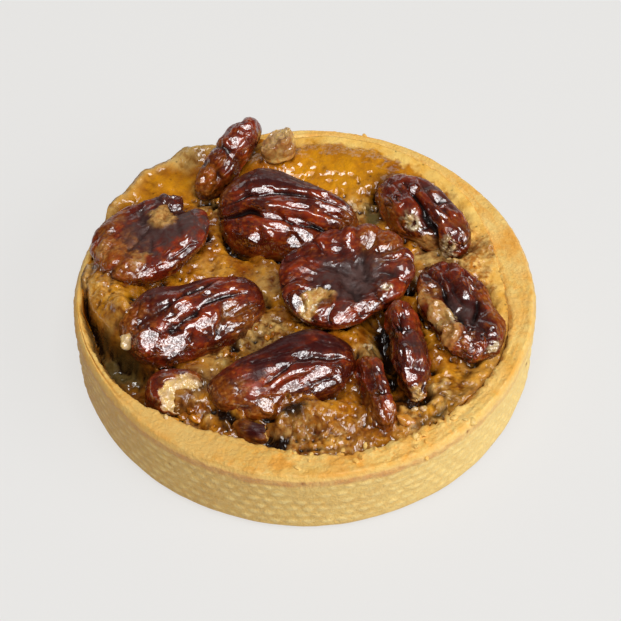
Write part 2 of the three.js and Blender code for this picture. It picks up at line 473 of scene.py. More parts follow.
class Effects:
    """The node groups of the tartlet: mottling, scattered dots and the cracks of a dry glaze."""

    def __init__(self) -> None:
        """Build each group once."""
        self.mottle = self._mottle()
        self.dots = self._dots()
        self.crackle = self._crackle()

    @staticmethod
    def _mottle() -> bpy.types.NodeTree:
        """Build the group that gives soft blotches, which may be drawn out along an axis.

        Returns:
            The group. Scale counts blotches per metre.
        """
        inputs = (("Stretch", DIRECTION, (1, 1, 1)), ("Scale", NUMBER, 300), ("Detail", NUMBER, 4))
        inputs += (("Twist", NUMBER, 0), ("Low", NUMBER, 0.35), ("High", NUMBER, 0.65))
        board, given, result = Effect("Mottle", inputs, "Mask").begin()
        factors = {0: board.place(), 1: given.outputs["Stretch"]}
        drawn = board.node("ShaderNodeVectorMath", factors, operation="MULTIPLY").outputs[0]
        wanted = {"Vector": drawn, "Scale": given.outputs["Scale"], "Detail": given.outputs["Detail"]}
        noise = board.node("ShaderNodeTexNoise", wanted | {"Distortion": given.outputs["Twist"]}).outputs[0]
        levels = board.smooth(noise, given.outputs["Low"], given.outputs["High"])
        board.tree.links.new(levels, result.inputs["Mask"])
        return board.tree

    @staticmethod
    def _dots() -> bpy.types.NodeTree:
        """Build the group that gives scattered round dots.

        Returns:
            The group. Scale counts dots per metre, and Share is how many of them are kept.
        """
        inputs = (("Scale", NUMBER, 500), ("Radius", NUMBER, 0.3), ("Share", NUMBER, 0.3))
        board, given, result = Effect("Dots", inputs, "Mask").begin()
        cells = board.node("ShaderNodeTexVoronoi", {"Vector": board.place(), "Scale": given.outputs["Scale"]})
        round_dot = board.smooth(cells.outputs["Distance"], given.outputs["Radius"], 0.0)
        draw = board.node("ShaderNodeSeparateColor", {0: cells.outputs["Color"]}).outputs[0]
        kept = board.math("LESS_THAN", draw, given.outputs["Share"])
        board.tree.links.new(board.times(round_dot, kept), result.inputs["Mask"])
        return board.tree

    @staticmethod
    def _crackle() -> bpy.types.NodeTree:
        """Build the group that gives thin wandering cracks.

        Returns:
            The group. Scale counts turns of a crack per metre, and Width is how broad it is, from 0 to 1.
        """
        inputs = (("Scale", NUMBER, 900), ("Width", NUMBER, 0.06))
        board, given, result = Effect("Crackle", inputs, "Mask").begin()
        wanted = {"Vector": board.place(), "Scale": given.outputs["Scale"], "Detail": 2.0, "Distortion": 1.0}
        noise = board.node("ShaderNodeTexNoise", wanted).outputs[0]
        away = board.math("ABSOLUTE", board.math("SUBTRACT", noise, 0.5), 0.0)
        board.tree.links.new(board.smooth(away, given.outputs["Width"], 0.0), result.inputs["Mask"])
        return board.tree


@dataclass(frozen=True)
class Finish:
    """A material: its name, and how its surface is wired."""

    name: str

    def make(self, effects: Effects) -> bpy.types.Material:
        """Make the material.

        Args:
            effects: The node groups that the finish may place.

        Returns:
            The material.
        """
        material = bpy.data.materials.new(self.name)
        material.use_nodes = True
        material.node_tree.nodes.clear()
        board = Board(material.node_tree)
        shader = self.wire(board, effects)
        board.node("ShaderNodeOutputMaterial", {"Surface": shader.outputs[0]})
        return material

    def wire(self, board: Board, effects: Effects) -> bpy.types.Node:
        """Wire the surface and return its shader."""
        raise NotImplementedError

    @staticmethod
    def relief(board: Board, height: bpy.types.NodeSocket, depth: float) -> bpy.types.NodeSocket:
        """Return the normal of a surface with fine relief.

        Args:
            board: The board of the material.
            height: Height of the relief, from 0 to 1.
            depth: What a height of 1 stands for, in millimetres.

        Returns:
            The normal.
        """
        wanted = {"Height": height, "Strength": 1.0, "Distance": depth * MM}
        return board.node("ShaderNodeBump", wanted).outputs[0]


@dataclass(frozen=True)
class PastryFinish(Finish):
    """Baked shortcrust: dry and pale on the wall, golden on the rim, with darker toasted patches."""

    name: str = "shortcrust"
    dough: Colour = tint(234, 199, 119)
    baked: Colour = tint(206, 159, 91)
    dash: Colour = tint(249, 223, 150)
    seam: Colour = tint(195, 154, 76)
    ledge: Colour = tint(230, 181, 82)
    butter: Colour = tint(246, 212, 126)
    # Pale: random blotches on the rim, and painted light on the lit side of the wall.
    pale: Colour = tint(251, 224, 146)
    shade: Colour = tint(206, 160, 84)
    # Toast colour: real toasted patches, and painted shade in the hollows of the relief.
    toasted: Colour = tint(236, 156, 44)
    band: Colour = tint(208, 150, 92)
    # Painted shade for the inner wall and the crack.
    recess_shade: Colour = tint(120, 84, 36)
    speck: Colour = tint(126, 70, 24)

    def wire(self, board: Board, effects: Effects) -> bpy.types.Node:
        """Wire the pastry.

        Args:
            board: The board of the material.
            effects: The node groups.

        Returns:
            The shader.
        """
        blotch = board.use(effects.mottle, Scale=150.0, Detail=6.0, Low=0.25, High=0.75)
        flakes = board.use(effects.mottle, Scale=520.0, Detail=5.0, Low=0.3, High=0.7)
        grains = board.use(effects.mottle, Scale=1700.0, Detail=3.0, Low=0.3, High=0.7)
        # Wall: bake, flakes and dashes, then painted light where the right lamp falls, then the band.
        wall = board.layered(
            self.dough, (self.baked, "bake"), (self.seam, flakes, 0.45), (self.dash, "dash", 0.55),
            (self.pale, "painted_light"), (self.band, "band", board.between(flakes, 0.45, 1.0)),
        )
        rim = board.layered(
            self.ledge, (self.butter, flakes, 0.7), (self.pale, blotch, 0.5),
            (self.toasted, "toast", board.between(blotch, 1.0, 0.35)), (self.shade, "shade"),
        )
        specks = board.use(effects.dots, Scale=700.0, Radius=0.3, Share=0.02)
        marks = board.math("MAXIMUM", board.mask("pore"), board.times(specks, 0.6))
        # Over the wall go the rim, painted shade on the inner wall and in the crack, painted shade in
        # hollows, grain and specks.
        colour = board.layered(
            wall, (rim, "ledge"), (self.recess_shade, "stain"), (self.toasted, "hollow", 0.7),
            (self.toasted, grains, 0.14), (self.speck, marks),
        )
        wanted = {"Base Color": colour, "Roughness": board.between(grains, 0.5, 0.8), "IOR": 1.4}
        wanted |= {"Coat Weight": board.times(board.mask("gloss"), flakes), "Coat Roughness": 0.2}
        return board.node("ShaderNodeBsdfPrincipled", wanted | {"Normal": self.relief(board, grains, 0.08)})


@dataclass(frozen=True)
class CaramelFinish(Finish):
    """Baked caramel filling: amber where it set clear, cream where it frothed, brown where it toasted or
    where shade is painted.
    """

    name: str = "baked_caramel"
    amber: Colour = tint(160, 84, 6)
    honey: Colour = tint(216, 142, 26)
    gold: Colour = tint(222, 150, 18)
    cream: Colour = tint(222, 182, 108)
    # Toast colour: real toasting, and painted shade in valleys, hollows, crevices, the sunken moat and beside
    # the nuts.
    toasted: Colour = tint(104, 46, 8)
    # Near-black: random burnt specks, and painted shade in gaps, pits, seams and the deepest hollows.
    burnt: Colour = tint(26, 11, 4)
    olive: Colour = tint(104, 88, 46)
    bread: Colour = tint(196, 122, 40)
    crumb: Colour = tint(246, 204, 124)
    dough: Colour = tint(251, 212, 120)
    crust: Colour = tint(240, 182, 80)

    def wire(self, board: Board, effects: Effects) -> bpy.types.Node:
        """Wire the caramel.

        Args:
            board: The board of the material.
            effects: The node groups.

        Returns:
            The shader.
        """
        clouds = board.use(effects.mottle, Scale=260.0, Detail=6.0, Low=0.28, High=0.72)
        veins = board.use(effects.mottle, Scale=700.0, Detail=5.0, Twist=0.6, Low=0.4, High=0.75)
        grit = board.use(effects.mottle, Scale=2000.0, Detail=2.0, Low=0.3, High=0.7)
        grains = board.use(effects.mottle, Scale=1100.0, Detail=4.0, Low=0.34, High=0.66)
        specks = board.use(effects.dots, Scale=900.0, Radius=0.36, Share=0.1)
        colour = board.layered(
            self.amber, (self.honey, clouds), (self.gold, "gold", board.between(clouds, 0.5, 1.0)),
            (self.cream, "cream", board.between(veins, 1.0, 0.4)),
            (board.mix(grains, self.bread, self.crumb), "crumb"),
            (self.toasted, "toast", board.between(veins, 0.5, 1.0)), (self.olive, "olive"),
            (self.burnt, "burnt"), (board.mix(clouds, self.dough, self.crust), "dough"),
            (self.burnt, specks, 0.65),
        )
        cracks = board.use(effects.crackle, Scale=1000.0, Width=0.022)
        shine = board.times(board.mask("wet"), board.between(cracks, 1.0, 0.2))
        wanted = {"Base Color": colour, "Roughness": board.between(grit, 0.4, 0.65)}
        wanted |= {"Specular IOR Level": 0.05}
        wanted |= {"Coat Weight": shine, "Coat Roughness": 0.05, "Coat IOR": 2.0}
        return board.node("ShaderNodeBsdfPrincipled", wanted | {"Normal": self.relief(board, grit, 0.05)})


@dataclass(frozen=True)
class PecanFinish(Finish):
    """Glazed pecan: red-brown skin under clear syrup, amber under caramel, bare where it is broken."""

    name: str = "glazed_pecan"
    skin: Colour = tint(104, 27, 7)
    # Orange-red: random streaks, and painted light on the raised crests.
    ridge: Colour = tint(176, 58, 10)
    spark: Colour = tint(198, 104, 28)
    shadow: Colour = tint(28, 7, 3)
    # Near-black for painted shade in the grooves and hollows of the skin.
    groove: Colour = tint(22, 8, 6)
    deep: Colour = tint(58, 13, 10)
    # Grey-mauve: painted sheen on upper slopes, and the real grey film on open faces.
    dusk: Colour = tint(80, 58, 54)
    amber: Colour = tint(150, 78, 8)
    tan: Colour = tint(192, 128, 56)
    kernel: Colour = tint(228, 190, 112)
    frost: Colour = tint(240, 228, 190)

    def wire(self, board: Board, effects: Effects) -> bpy.types.Node:
        """Wire the pecan.

        Args:
            board: The board of the material.
            effects: The node groups.

        Returns:
            The shader.
        """
        drawn_out, slender = (0.3, 1.0, 1.0), (0.6, 1.0, 1.0)
        streaks = board.use(effects.mottle, Stretch=drawn_out, Scale=620.0, Detail=6.0, Low=0.28, High=0.76)
        clouds = board.use(effects.mottle, Scale=170.0, Detail=6.0, Low=0.36, High=0.66)
        grit = board.use(effects.mottle, Scale=1900.0, Detail=3.0, Low=0.25, High=0.75)
        fleck = board.use(effects.mottle, Scale=900.0, Detail=5.0, Twist=0.5, Low=0.3, High=0.7)
        grains = board.use(effects.mottle, Stretch=slender, Scale=1500.0, Detail=3.0, Low=0.46, High=0.7)
        pits = board.use(effects.dots, Scale=1500.0, Radius=0.5, Share=0.35)
        loose = board.between(board.mask("pooled"), 1.0, 0.12)
        pits = board.times(pits, loose)
        syrup = board.mix(board.times(grains, 0.8), self.amber, self.tan)
        # Skin: random streaks and clouds, crests painted lighter, painted shade in grooves, painted grey
        # sheen, then syrup, kernel and frost.
        colour = board.layered(
            self.skin, (self.ridge, streaks, "ridge"), (self.shadow, clouds, 0.75),
            (self.spark, grains, "ridge", 0.5), (self.deep, "deep", board.between(streaks, 0.95, 0.6)),
            (self.shadow, pits, 0.6), (self.groove, "groove"),
            (self.dusk, "dusk", board.between(fleck, 0.8, 0.3)),
            (syrup, "amber", board.between(fleck, 0.9, 0.3)),
            (board.mix(fleck, self.kernel, self.tan), "bare"), (self.frost, "frost", fleck),
        )
        cracks = board.times(board.use(effects.crackle, Scale=1200.0, Width=0.008), loose)
        hairs = board.use(effects.crackle, Scale=2600.0, Width=0.013)
        cracks = board.math("MAXIMUM", cracks, board.times(hairs, board.mask("pooled")))
        shine = board.times(board.mask("wet"), board.between(pits, 1.0, 0.7))
        shine = board.times(shine, board.between(cracks, 1.0, 0.2))
        wanted = {"Base Color": colour, "Roughness": board.between(grit, 0.35, 0.55)}
        wanted |= {"Specular IOR Level": 0.15}
        wanted |= {"Coat Weight": shine, "Coat Roughness": 0.045, "Coat IOR": 2.4}
        skin = self.relief(board, board.times(grit, loose), 0.03)
        return board.node("ShaderNodeBsdfPrincipled", wanted | {"Normal": skin})


@dataclass(frozen=True)
class FloorFinish(Finish):
    """Pale matt table under the tartlet, lit from below so that it stays even."""

    name: str = "pale_table"
    paint: Colour = tint(108, 107, 106)
    glow: Colour = tint(212, 211, 209)

    def wire(self, board: Board, effects: Effects) -> bpy.types.Node:
        """Wire the table.

        Args:
            board: The board of the material.
            effects: The node groups.

        Returns:
            The shader.
        """
        haze = board.use(effects.mottle, Scale=6.0, Detail=1.0, Low=0.0, High=1.0)
        wanted = {"Base Color": self.paint, "Roughness": board.between(haze, 0.88, 0.92)}
        wanted |= {"Emission Color": self.glow, "Emission Strength": 1.0, "Specular IOR Level": 0.1}
        return board.node("ShaderNodeBsdfPrincipled", wanted)


# ---- Pastry shell ------------------------------------------------------------------------------------


@dataclass(frozen=True)
class Swell:
    """A bell-shaped change round the tartlet: where it is, how wide it is and how large."""

    bearing: float
    spread: float
    size: float

    def at(self, angle: Array) -> Array:
        """Return its size at each angle."""
        return self.size * around(angle, self.bearing, self.spread)


def swelling(angle: Array, swells: tuple[Swell, ...]) -> Array:
    """Return the sum of swells at each angle."""
    return sum(swell.at(angle) for swell in swells)


def waves(angle: Array, terms: tuple[Point, ...]) -> Array:
    """Return the sum of sine waves round the tartlet, each given as count, size and phase."""
    return sum(size * np.sin(count * angle + phase) for count, size, phase in terms)


@dataclass
class Shell:
    """Shortcrust shell: a wall with a woven imprint, a crumbly rim and a floor under the filling."""

    radius: float = 45.0
    rim_height: float = 16.6
    floor: float = 3.8
    foot_rounding: float = 0.9
    rim_rounding: float = 0.8
    inner_slope: float = 3.0
    ledge_fall: float = 0.12
    rim_width: float = 2.4
    sectors: int = 820
    dash_pitch: tuple[float, float] = (2.9, 2.05)
    dash_size: tuple[float, float] = (1.9, 1.15)
    dash_height: float = 0.15
    swells: tuple[Swell, ...] = rows(
        Swell, (250, 26, 4.9), (300, 30, 2.4), (10, 28, 3.8), (180, 42, -0.9),
    )
    rim_waves: tuple[Point, ...] = ((2, 0.16, 0.4), (5, 0.14, 2.1), (11, 0.08, 4.0))
    wall_waves: tuple[Point, ...] = ((4, 0.12, 1.2), (9, 0.07, 3.3))
    drift: Noise = Noise(0.0, 5.0)
    blur: Noise = Noise(0.0, 1.3, 2)
    low: Noise = Noise(0.0, 7.0, 3)
    fine: Noise = Noise(0.0, 1.5, 3)
    faded: Noise = Noise(0.0, 4.2)
    scatter: Noise = Noise(91.0, 7.0, 2)
    wander: Noise = Noise(0.0, 3.0)
    rough: Noise = Noise(0.0, 2.6, 4, 0.6)
    streaks: Noise = Noise(0.0, 1.0, 3)
    flakes: Noise = Noise(0.0, 1.7, 3)
    edges: Noise = Noise(0.0, 3.5, 3, 0.6)
    blotches: Noise = Noise(5.0, 6.0, 4, 0.6)
    front: Swell = Swell(300, 42, 1.0)
    cracked: Swell = Swell(203, 17, 1.0)
    baked: Swell = Swell(175, 62, 1.0)
    # Painted light: the wall is painted paler round this bearing, on the side that the right lamp lights.
    lit: Swell = Swell(332, 38, 0.6)
    shaded: Swell = Swell(236, 34, 0.55)
    glossy: Swell = Swell(5, 60, 0.6)
    banded: Swell = Swell(265, 50, 0.7)
    # Painted shade on the inner wall, strongest round this bearing at the left, where the filling has sunk
    # away.
    recess_shade: Swell = Swell(205, 45, 0.4)
    untoasted: Swell = Swell(328, 40, 0.5)
    toasted_edge: Swell = Swell(238, 36, 1.0)
    toasted: tuple[Swell, Swell] = (Swell(0, 60, 0.1), Swell(50, 36, 0.2))
    bumps: float = 0.09
    grit: float = 0.06
    pore_depth: float = 0.18
    streak_height: float = 0.07
    crumb_height: float = 0.36
    dust_height: float = 0.12
    band_height: float = 0.16
    crack_depth: float = 0.25
    inner_grit: float = 0.2
    edge_lumps: float = 0.35
    grain: Grain = field(default_factory=lambda: Grain(11))

    WALL_FOOT = 2.0
    WALL_TOP = 3.0
    RIM_EDGE = 4.0
    CRACK = 4.42
    RIM_INNER = 5.0

    def wall_radius(self, angle: Array) -> Array:
        """Return the outer radius of the wall."""
        return self.radius + waves(angle, self.wall_waves)

    def rim_top(self, angle: Array) -> Array:
        """Return the height of the rim."""
        return self.rim_height + waves(angle, self.rim_waves)

    def width(self, angle: Array) -> Array:
        """Return the width of the rim's top."""
        return self.rim_width + swelling(angle, self.swells)

    def inner_radius(self, angle: Array, height: Array) -> Array:
        """Return the radius inside the wall, which slopes in from the rim to the floor.

        Args:
            angle: Angles round the tartlet.
            height: Heights over the table.

        Returns:
            One radius for each place.
        """
        top = self.rim_top(angle)
        sloped = self.inner_slope * (top - height) / (top - self.floor)
        return self.wall_radius(angle) - self.width(angle) - sloped

    def section(self, angle: Array) -> tuple[Array, Array]:
        """Return the rings of the shell before any relief.

        Args:
            angle: Angles round the tartlet.

        Returns:
            Points of shape (rings, sectors, 3), and how far along the section each ring is: whole numbers
            count the corners that the section passes, as the constants of the class do.
        """
        outside, top = self.wall_radius(angle), self.rim_top(angle)
        ledge = top - self.ledge_fall * np.maximum(0, self.width(angle) - self.rim_width)
        foot, edge = self.foot_rounding, self.rim_rounding
        corners = [
            (outside * 0.2, 0 * angle),
            (outside - foot, 0 * angle),
            (outside, 1.6 * foot + 0 * angle),
            (outside, top - 1.4 * edge),
            (outside - edge, top),
            (self.inner_radius(angle, top) + 0.4, ledge - 0.05),
            (self.inner_radius(angle, ledge - 0.4), ledge - 0.4),
            (self.inner_radius(angle, self.floor), self.floor + 0 * angle),
            (outside * 0.2, self.floor + 0 * angle),
        ]
        steps = (4, 5, 60, 6, 20, 3, 12, 2)
        rings, places = [], []
        for index, count in enumerate(steps):
            for step in range(count + (index == len(steps) - 1)):
                share = step / count
                radius = lerp(corners[index][0], corners[index + 1][0], share)
                height = lerp(corners[index][1], corners[index + 1][1], share)
                rings.append(np.stack([radius * np.cos(angle), radius * np.sin(angle), height], -1))
                places.append(index + share)
        rings = np.array(rings)
        for _ in range(2):
            rings[1:-1] = (rings[:-2] + 2 * rings[1:-1] + rings[2:]) / 4
        return rings, np.array(places)

    def dashes(self, angle: Array, height: Array, points: Array) -> Array:
        """Return the raised dashes that the mould left on the wall.

        Args:
            angle: Angle of each point.
            height: Height of each point.
            points: The points, for the dashes' unevenness.

        Returns:
            A mask from 0 to 1.
        """
        shift = 0.35 * self.drift.of(self.grain, points)
        count = round(TURN * self.radius / self.dash_pitch[0])
        row = (height + shift * 0.5) / self.dash_pitch[1]
        column = (angle + shift * 0.03) * count / TURN + 0.5 * (np.floor(row) % 2)
        along = np.abs(column % 1 - 0.5) * self.dash_pitch[0]
        across = np.abs(row % 1 - 0.5) * self.dash_pitch[1]
        reach = np.hypot(along / (self.dash_size[0] / 2), across / (self.dash_size[1] / 2))
        return 1 - smoothstep(reach + 0.5 * self.blur.of(self.grain, points), 0.45, 1.4)

    def build(self, finish: bpy.types.Material) -> bpy.types.Object:
        """Make the shell.

        Args:
            finish: Its material.

        Returns:
            The piece.
        """
        angle = np.linspace(0, TURN, self.sectors, endpoint=False)
        rings, place = self.section(angle)
        place = place[:, None] + 0 * angle
        turn = angle + 0 * place
        radius = np.hypot(rings[..., 0], rings[..., 1])
        height = rings[..., 2]
        top = self.rim_top(angle)
        low = self.low.of(self.grain, rings)
        fine = self.fine.of(self.grain, rings)
        on_wall = smoothstep(place, self.WALL_FOOT, self.WALL_FOOT + 0.05)
        on_wall = on_wall * (1 - smoothstep(place, self.WALL_TOP, self.WALL_TOP + 0.3))
        band = on_wall * smoothstep(height + 0.35 * low, top - 2.9, top - 2.1)
        dash = self.dashes(turn, height, rings) * on_wall * (1 - band) * smoothstep(height, 0.8, 1.4)
        dash *= smoothstep(self.faded.of(self.grain, rings) + 0.9, 0.2, 0.9)
        ledge = smoothstep(place, self.WALL_TOP + 0.1, self.RIM_EDGE - 0.1)
        ledge = ledge * (1 - smoothstep(place, self.RIM_INNER + 0.6, self.RIM_INNER + 1.5))
        inside = smoothstep(place, self.RIM_INNER - 0.1, self.RIM_INNER + 1.2)
        distance, number = self.grain.cells(rings, 3.1)
        pore = bell(distance, 0.12) * (number < 0.13) * (0.35 + 0.65 * on_wall)
        crumb_far, crumb = self.grain.cells(rings + 31.0, 1.15)
        crumbs = dome(crumb_far, 0.62) * (0.3 + crumb) * (crumb > 0.3)
        fine_far, fine_crumb = self.grain.cells(rings + 57.0, 0.62)
        fine_crumbs = dome(fine_far, 0.6) * (0.3 + fine_crumb)
        front = self.front.at(turn)
        inner_edge = smoothstep(place, self.RIM_INNER - 0.65, self.RIM_INNER)
        outer_edge = bell(place - self.RIM_EDGE, 0.35)
        scattered = smoothstep(self.scatter.of(self.grain, rings), -0.25, 0.45)
        crumbly = ledge * clamped(0.15 + inner_edge + 0.8 * outer_edge) * scattered * (0.3 + 0.7 * front)
        crack = bell(place - self.CRACK - 0.16 * self.wander.of(self.grain, rings), 0.13)
        crack = crack * self.cracked.at(turn)
        rough = self.rough.of(self.grain, rings)
        streaks = self.streaks.of(self.grain, np.stack([0 * radius, radius / 1.1, turn * 5], -1))
        flaky = np.maximum(0, self.flakes.of(self.grain, rings)) * band
        dusty = ledge * (0.2 + 0.8 * scattered * front) + 0.6 * inside + band * front * scattered
        relief = self.bumps * low + self.grit * fine * on_wall + self.dash_height * dash
        relief += ledge * (0.05 + 0.11 * front) * rough + self.streak_height * ledge * streaks
        relief += self.crumb_height * crumbs * crumbly + self.dust_height * fine_crumbs * dusty
        relief += self.band_height * flaky + self.inner_grit * rough * inside
        relief += self.edge_lumps * self.edges.of(self.grain, rings) * inner_edge * ledge * front
        relief -= self.pore_depth * pore + self.crack_depth * crack
        relief *= smoothstep(height, 0.0, 0.5) + inside
        rings = rings + normals_of(rings) * relief[..., None]
        ends = np.array([[0, 0, 0], [0, 0, self.floor]])
        piece = Draft.of_rings(rings, *ends).piece("tartlet_shell")
        wide = smoothstep(self.width(turn), 2.2, 4.5)
        blotches = self.blotches.of(self.grain, rings) + self.toasted[0].at(turn)
        toasts = (
            smoothstep(blotches, -0.15, 0.7) * (0.55 + 0.45 * wide) * (1 - self.untoasted.at(turn)),
            crack,
            0.5 * smoothstep(streaks + 0.3 * low, 0.1, 0.6) + self.toasted[1].at(turn),
            outer_edge * smoothstep(rough + 0.5 * fine, -0.1, 0.5) * self.toasted_edge.at(turn),
        )
        # Painted shade on the inner wall, darker the deeper it lies below the rim.
        stain = inside * smoothstep(top - height, 0.3, 2.0) * (0.6 + self.recess_shade.at(turn))
        bake = clamped(self.baked.at(turn) + 0.25 * low)
        masks = {
            "band": band * (0.3 + self.banded.at(turn)),
            "bake": bake,
            "dash": dash * (1 - 0.5 * bake),
            "gloss": ledge * (0.15 + self.glossy.at(turn)),
            # Painted shade: darker where the relief lies lower than its surroundings.
            "hollow": clamped((blurred(relief, 5) - relief) * 9) * (0.35 + 0.65 * ledge),
            "ledge": ledge + inside,
            # Painted light on the lit right side of the wall.
            "painted_light": self.lit.at(turn) * on_wall,
            "pore": pore,
            "shade": self.shaded.at(turn),
            # The stain mask is painted shade: on the inner wall, and in the crack.
            "stain": stain + 0.6 * crack,
            "toast": np.maximum.reduce(toasts),
        }
        for name, values in masks.items():
            paint(piece, name, np.append(clamped(values).ravel(), [0, 0]))
        piece.data.materials.append(finish)
        return settle(piece, "crust", "crust")


# ---- Pecans ------------------------------------------------------------------------------------------


class Side(Enum):
    """Which side of a pecan half is up."""

    DOME = "dome"
    FACE = "face"


@dataclass(frozen=True)
class Stroke:
    """A groove along a pecan, or a ridge where its depth is below 0.

    Both ends are shares of the half length and half width from its middle; the rest is in millimetres.
    """

    x: float
    y: float
    end_x: float
    end_y: float
    depth: float
    width: float = 0.9
    bow: float = 0.0

    def at(self, along: Array, across: Array, size: tuple[float, float]) -> Array:
        """Return how much of the stroke is felt at each point.

        Args:
            along: Place lengthwise, in millimetres.
            across: Place crosswise, in millimetres.
            size: Half length and half width of the pecan.

        Returns:
            1 on the middle of the stroke, falling to 0 beside it and past its ends.
        """
        first = np.array((self.x, self.y)) * size
        way = np.array((self.end_x, self.end_y)) * size - first
        length = float(np.hypot(*way))
        unit = way / length
        ahead = (along - first[0]) * unit[0] + (across - first[1]) * unit[1]
        aside = (across - first[1]) * unit[0] - (along - first[0]) * unit[1]
        share = clamped(ahead / length)
        aside = aside - self.bow * 4 * share * (1 - share)
        past = ahead - share * length
        taper = 0.35 + 0.65 * smoothstep(np.minimum(share, 1 - share), 0, 0.25)
        away = np.hypot(aside, past)
        return (0.7 * bell(away, self.width * taper) + 0.3 * bell(away, 2.4 * self.width)) * taper


class Coat(Enum):
    """What covers a patch of a pecan."""

    AMBER = "amber"
    BARE = "bare"
    FROST = "frost"
    # Painted grey sheen of reflected light on upper slopes, and the real grey film of open faces.
    DUSK = "dusk"
    DEEP = "deep"
    DRY = "dry"


@dataclass(frozen=True)
class Patch:
    """A patch of a coat on a pecan: its middle as shares of the half sizes, and its reach in millimetres."""

    coat: Coat
    x: float
    y: float
    along: float
    across: float
    amount: float = 1.0
    lift: float = 0.0


@dataclass(frozen=True)
class Pool:
    """A spot where the syrup lies smooth and nearly flat, leaning towards the front of the tartlet."""

    x: float
    y: float
    long: float
    wide: float
    turn: float = 0.0
    most: float = 0.8

    FACING = (0.01, -0.47, 0.88)
    SWELL = 0.07

    def lay(self, rings: Array, shown: Array, facing: Array, ragged: Array) -> tuple[Array, Array]:
        """Press the nut's skin towards the flat spot.

        Args:
            rings: The rings of the nut.
            shown: Which of their points lie on the side that shows.
            facing: The way the spot faces, in the nut's own frame.
            ragged: Noise for its outline.

        Returns:
            The rings, and how far each point belongs to the spot.
        """
        turn = math.radians(self.turn)
        x, y = rings[..., 0] - self.x, rings[..., 1] - self.y
        u = x * math.cos(turn) + y * math.sin(turn)
        v = y * math.cos(turn) - x * math.sin(turn)
        apart = np.hypot(u / self.long, v / self.wide)
        middle = rings.reshape(-1, 3)[np.argmin(np.where(shown, np.hypot(x, y), FAR))]
        above = (rings - middle) @ facing + self.SWELL * (u**2 / self.long + v**2 / self.wide)
        share = (1 - smoothstep(apart + ragged, 0.9, 1.3)) * shown
        return rings - (np.clip(above, -self.most, self.most) * share)[..., None] * facing, share


@dataclass(frozen=True)
class Break:
    """A broken face: the way it faces in the pecan's own frame, how far out it is, and how frosty."""

    facing: Point
    reach: float
    frost: float = 0.0


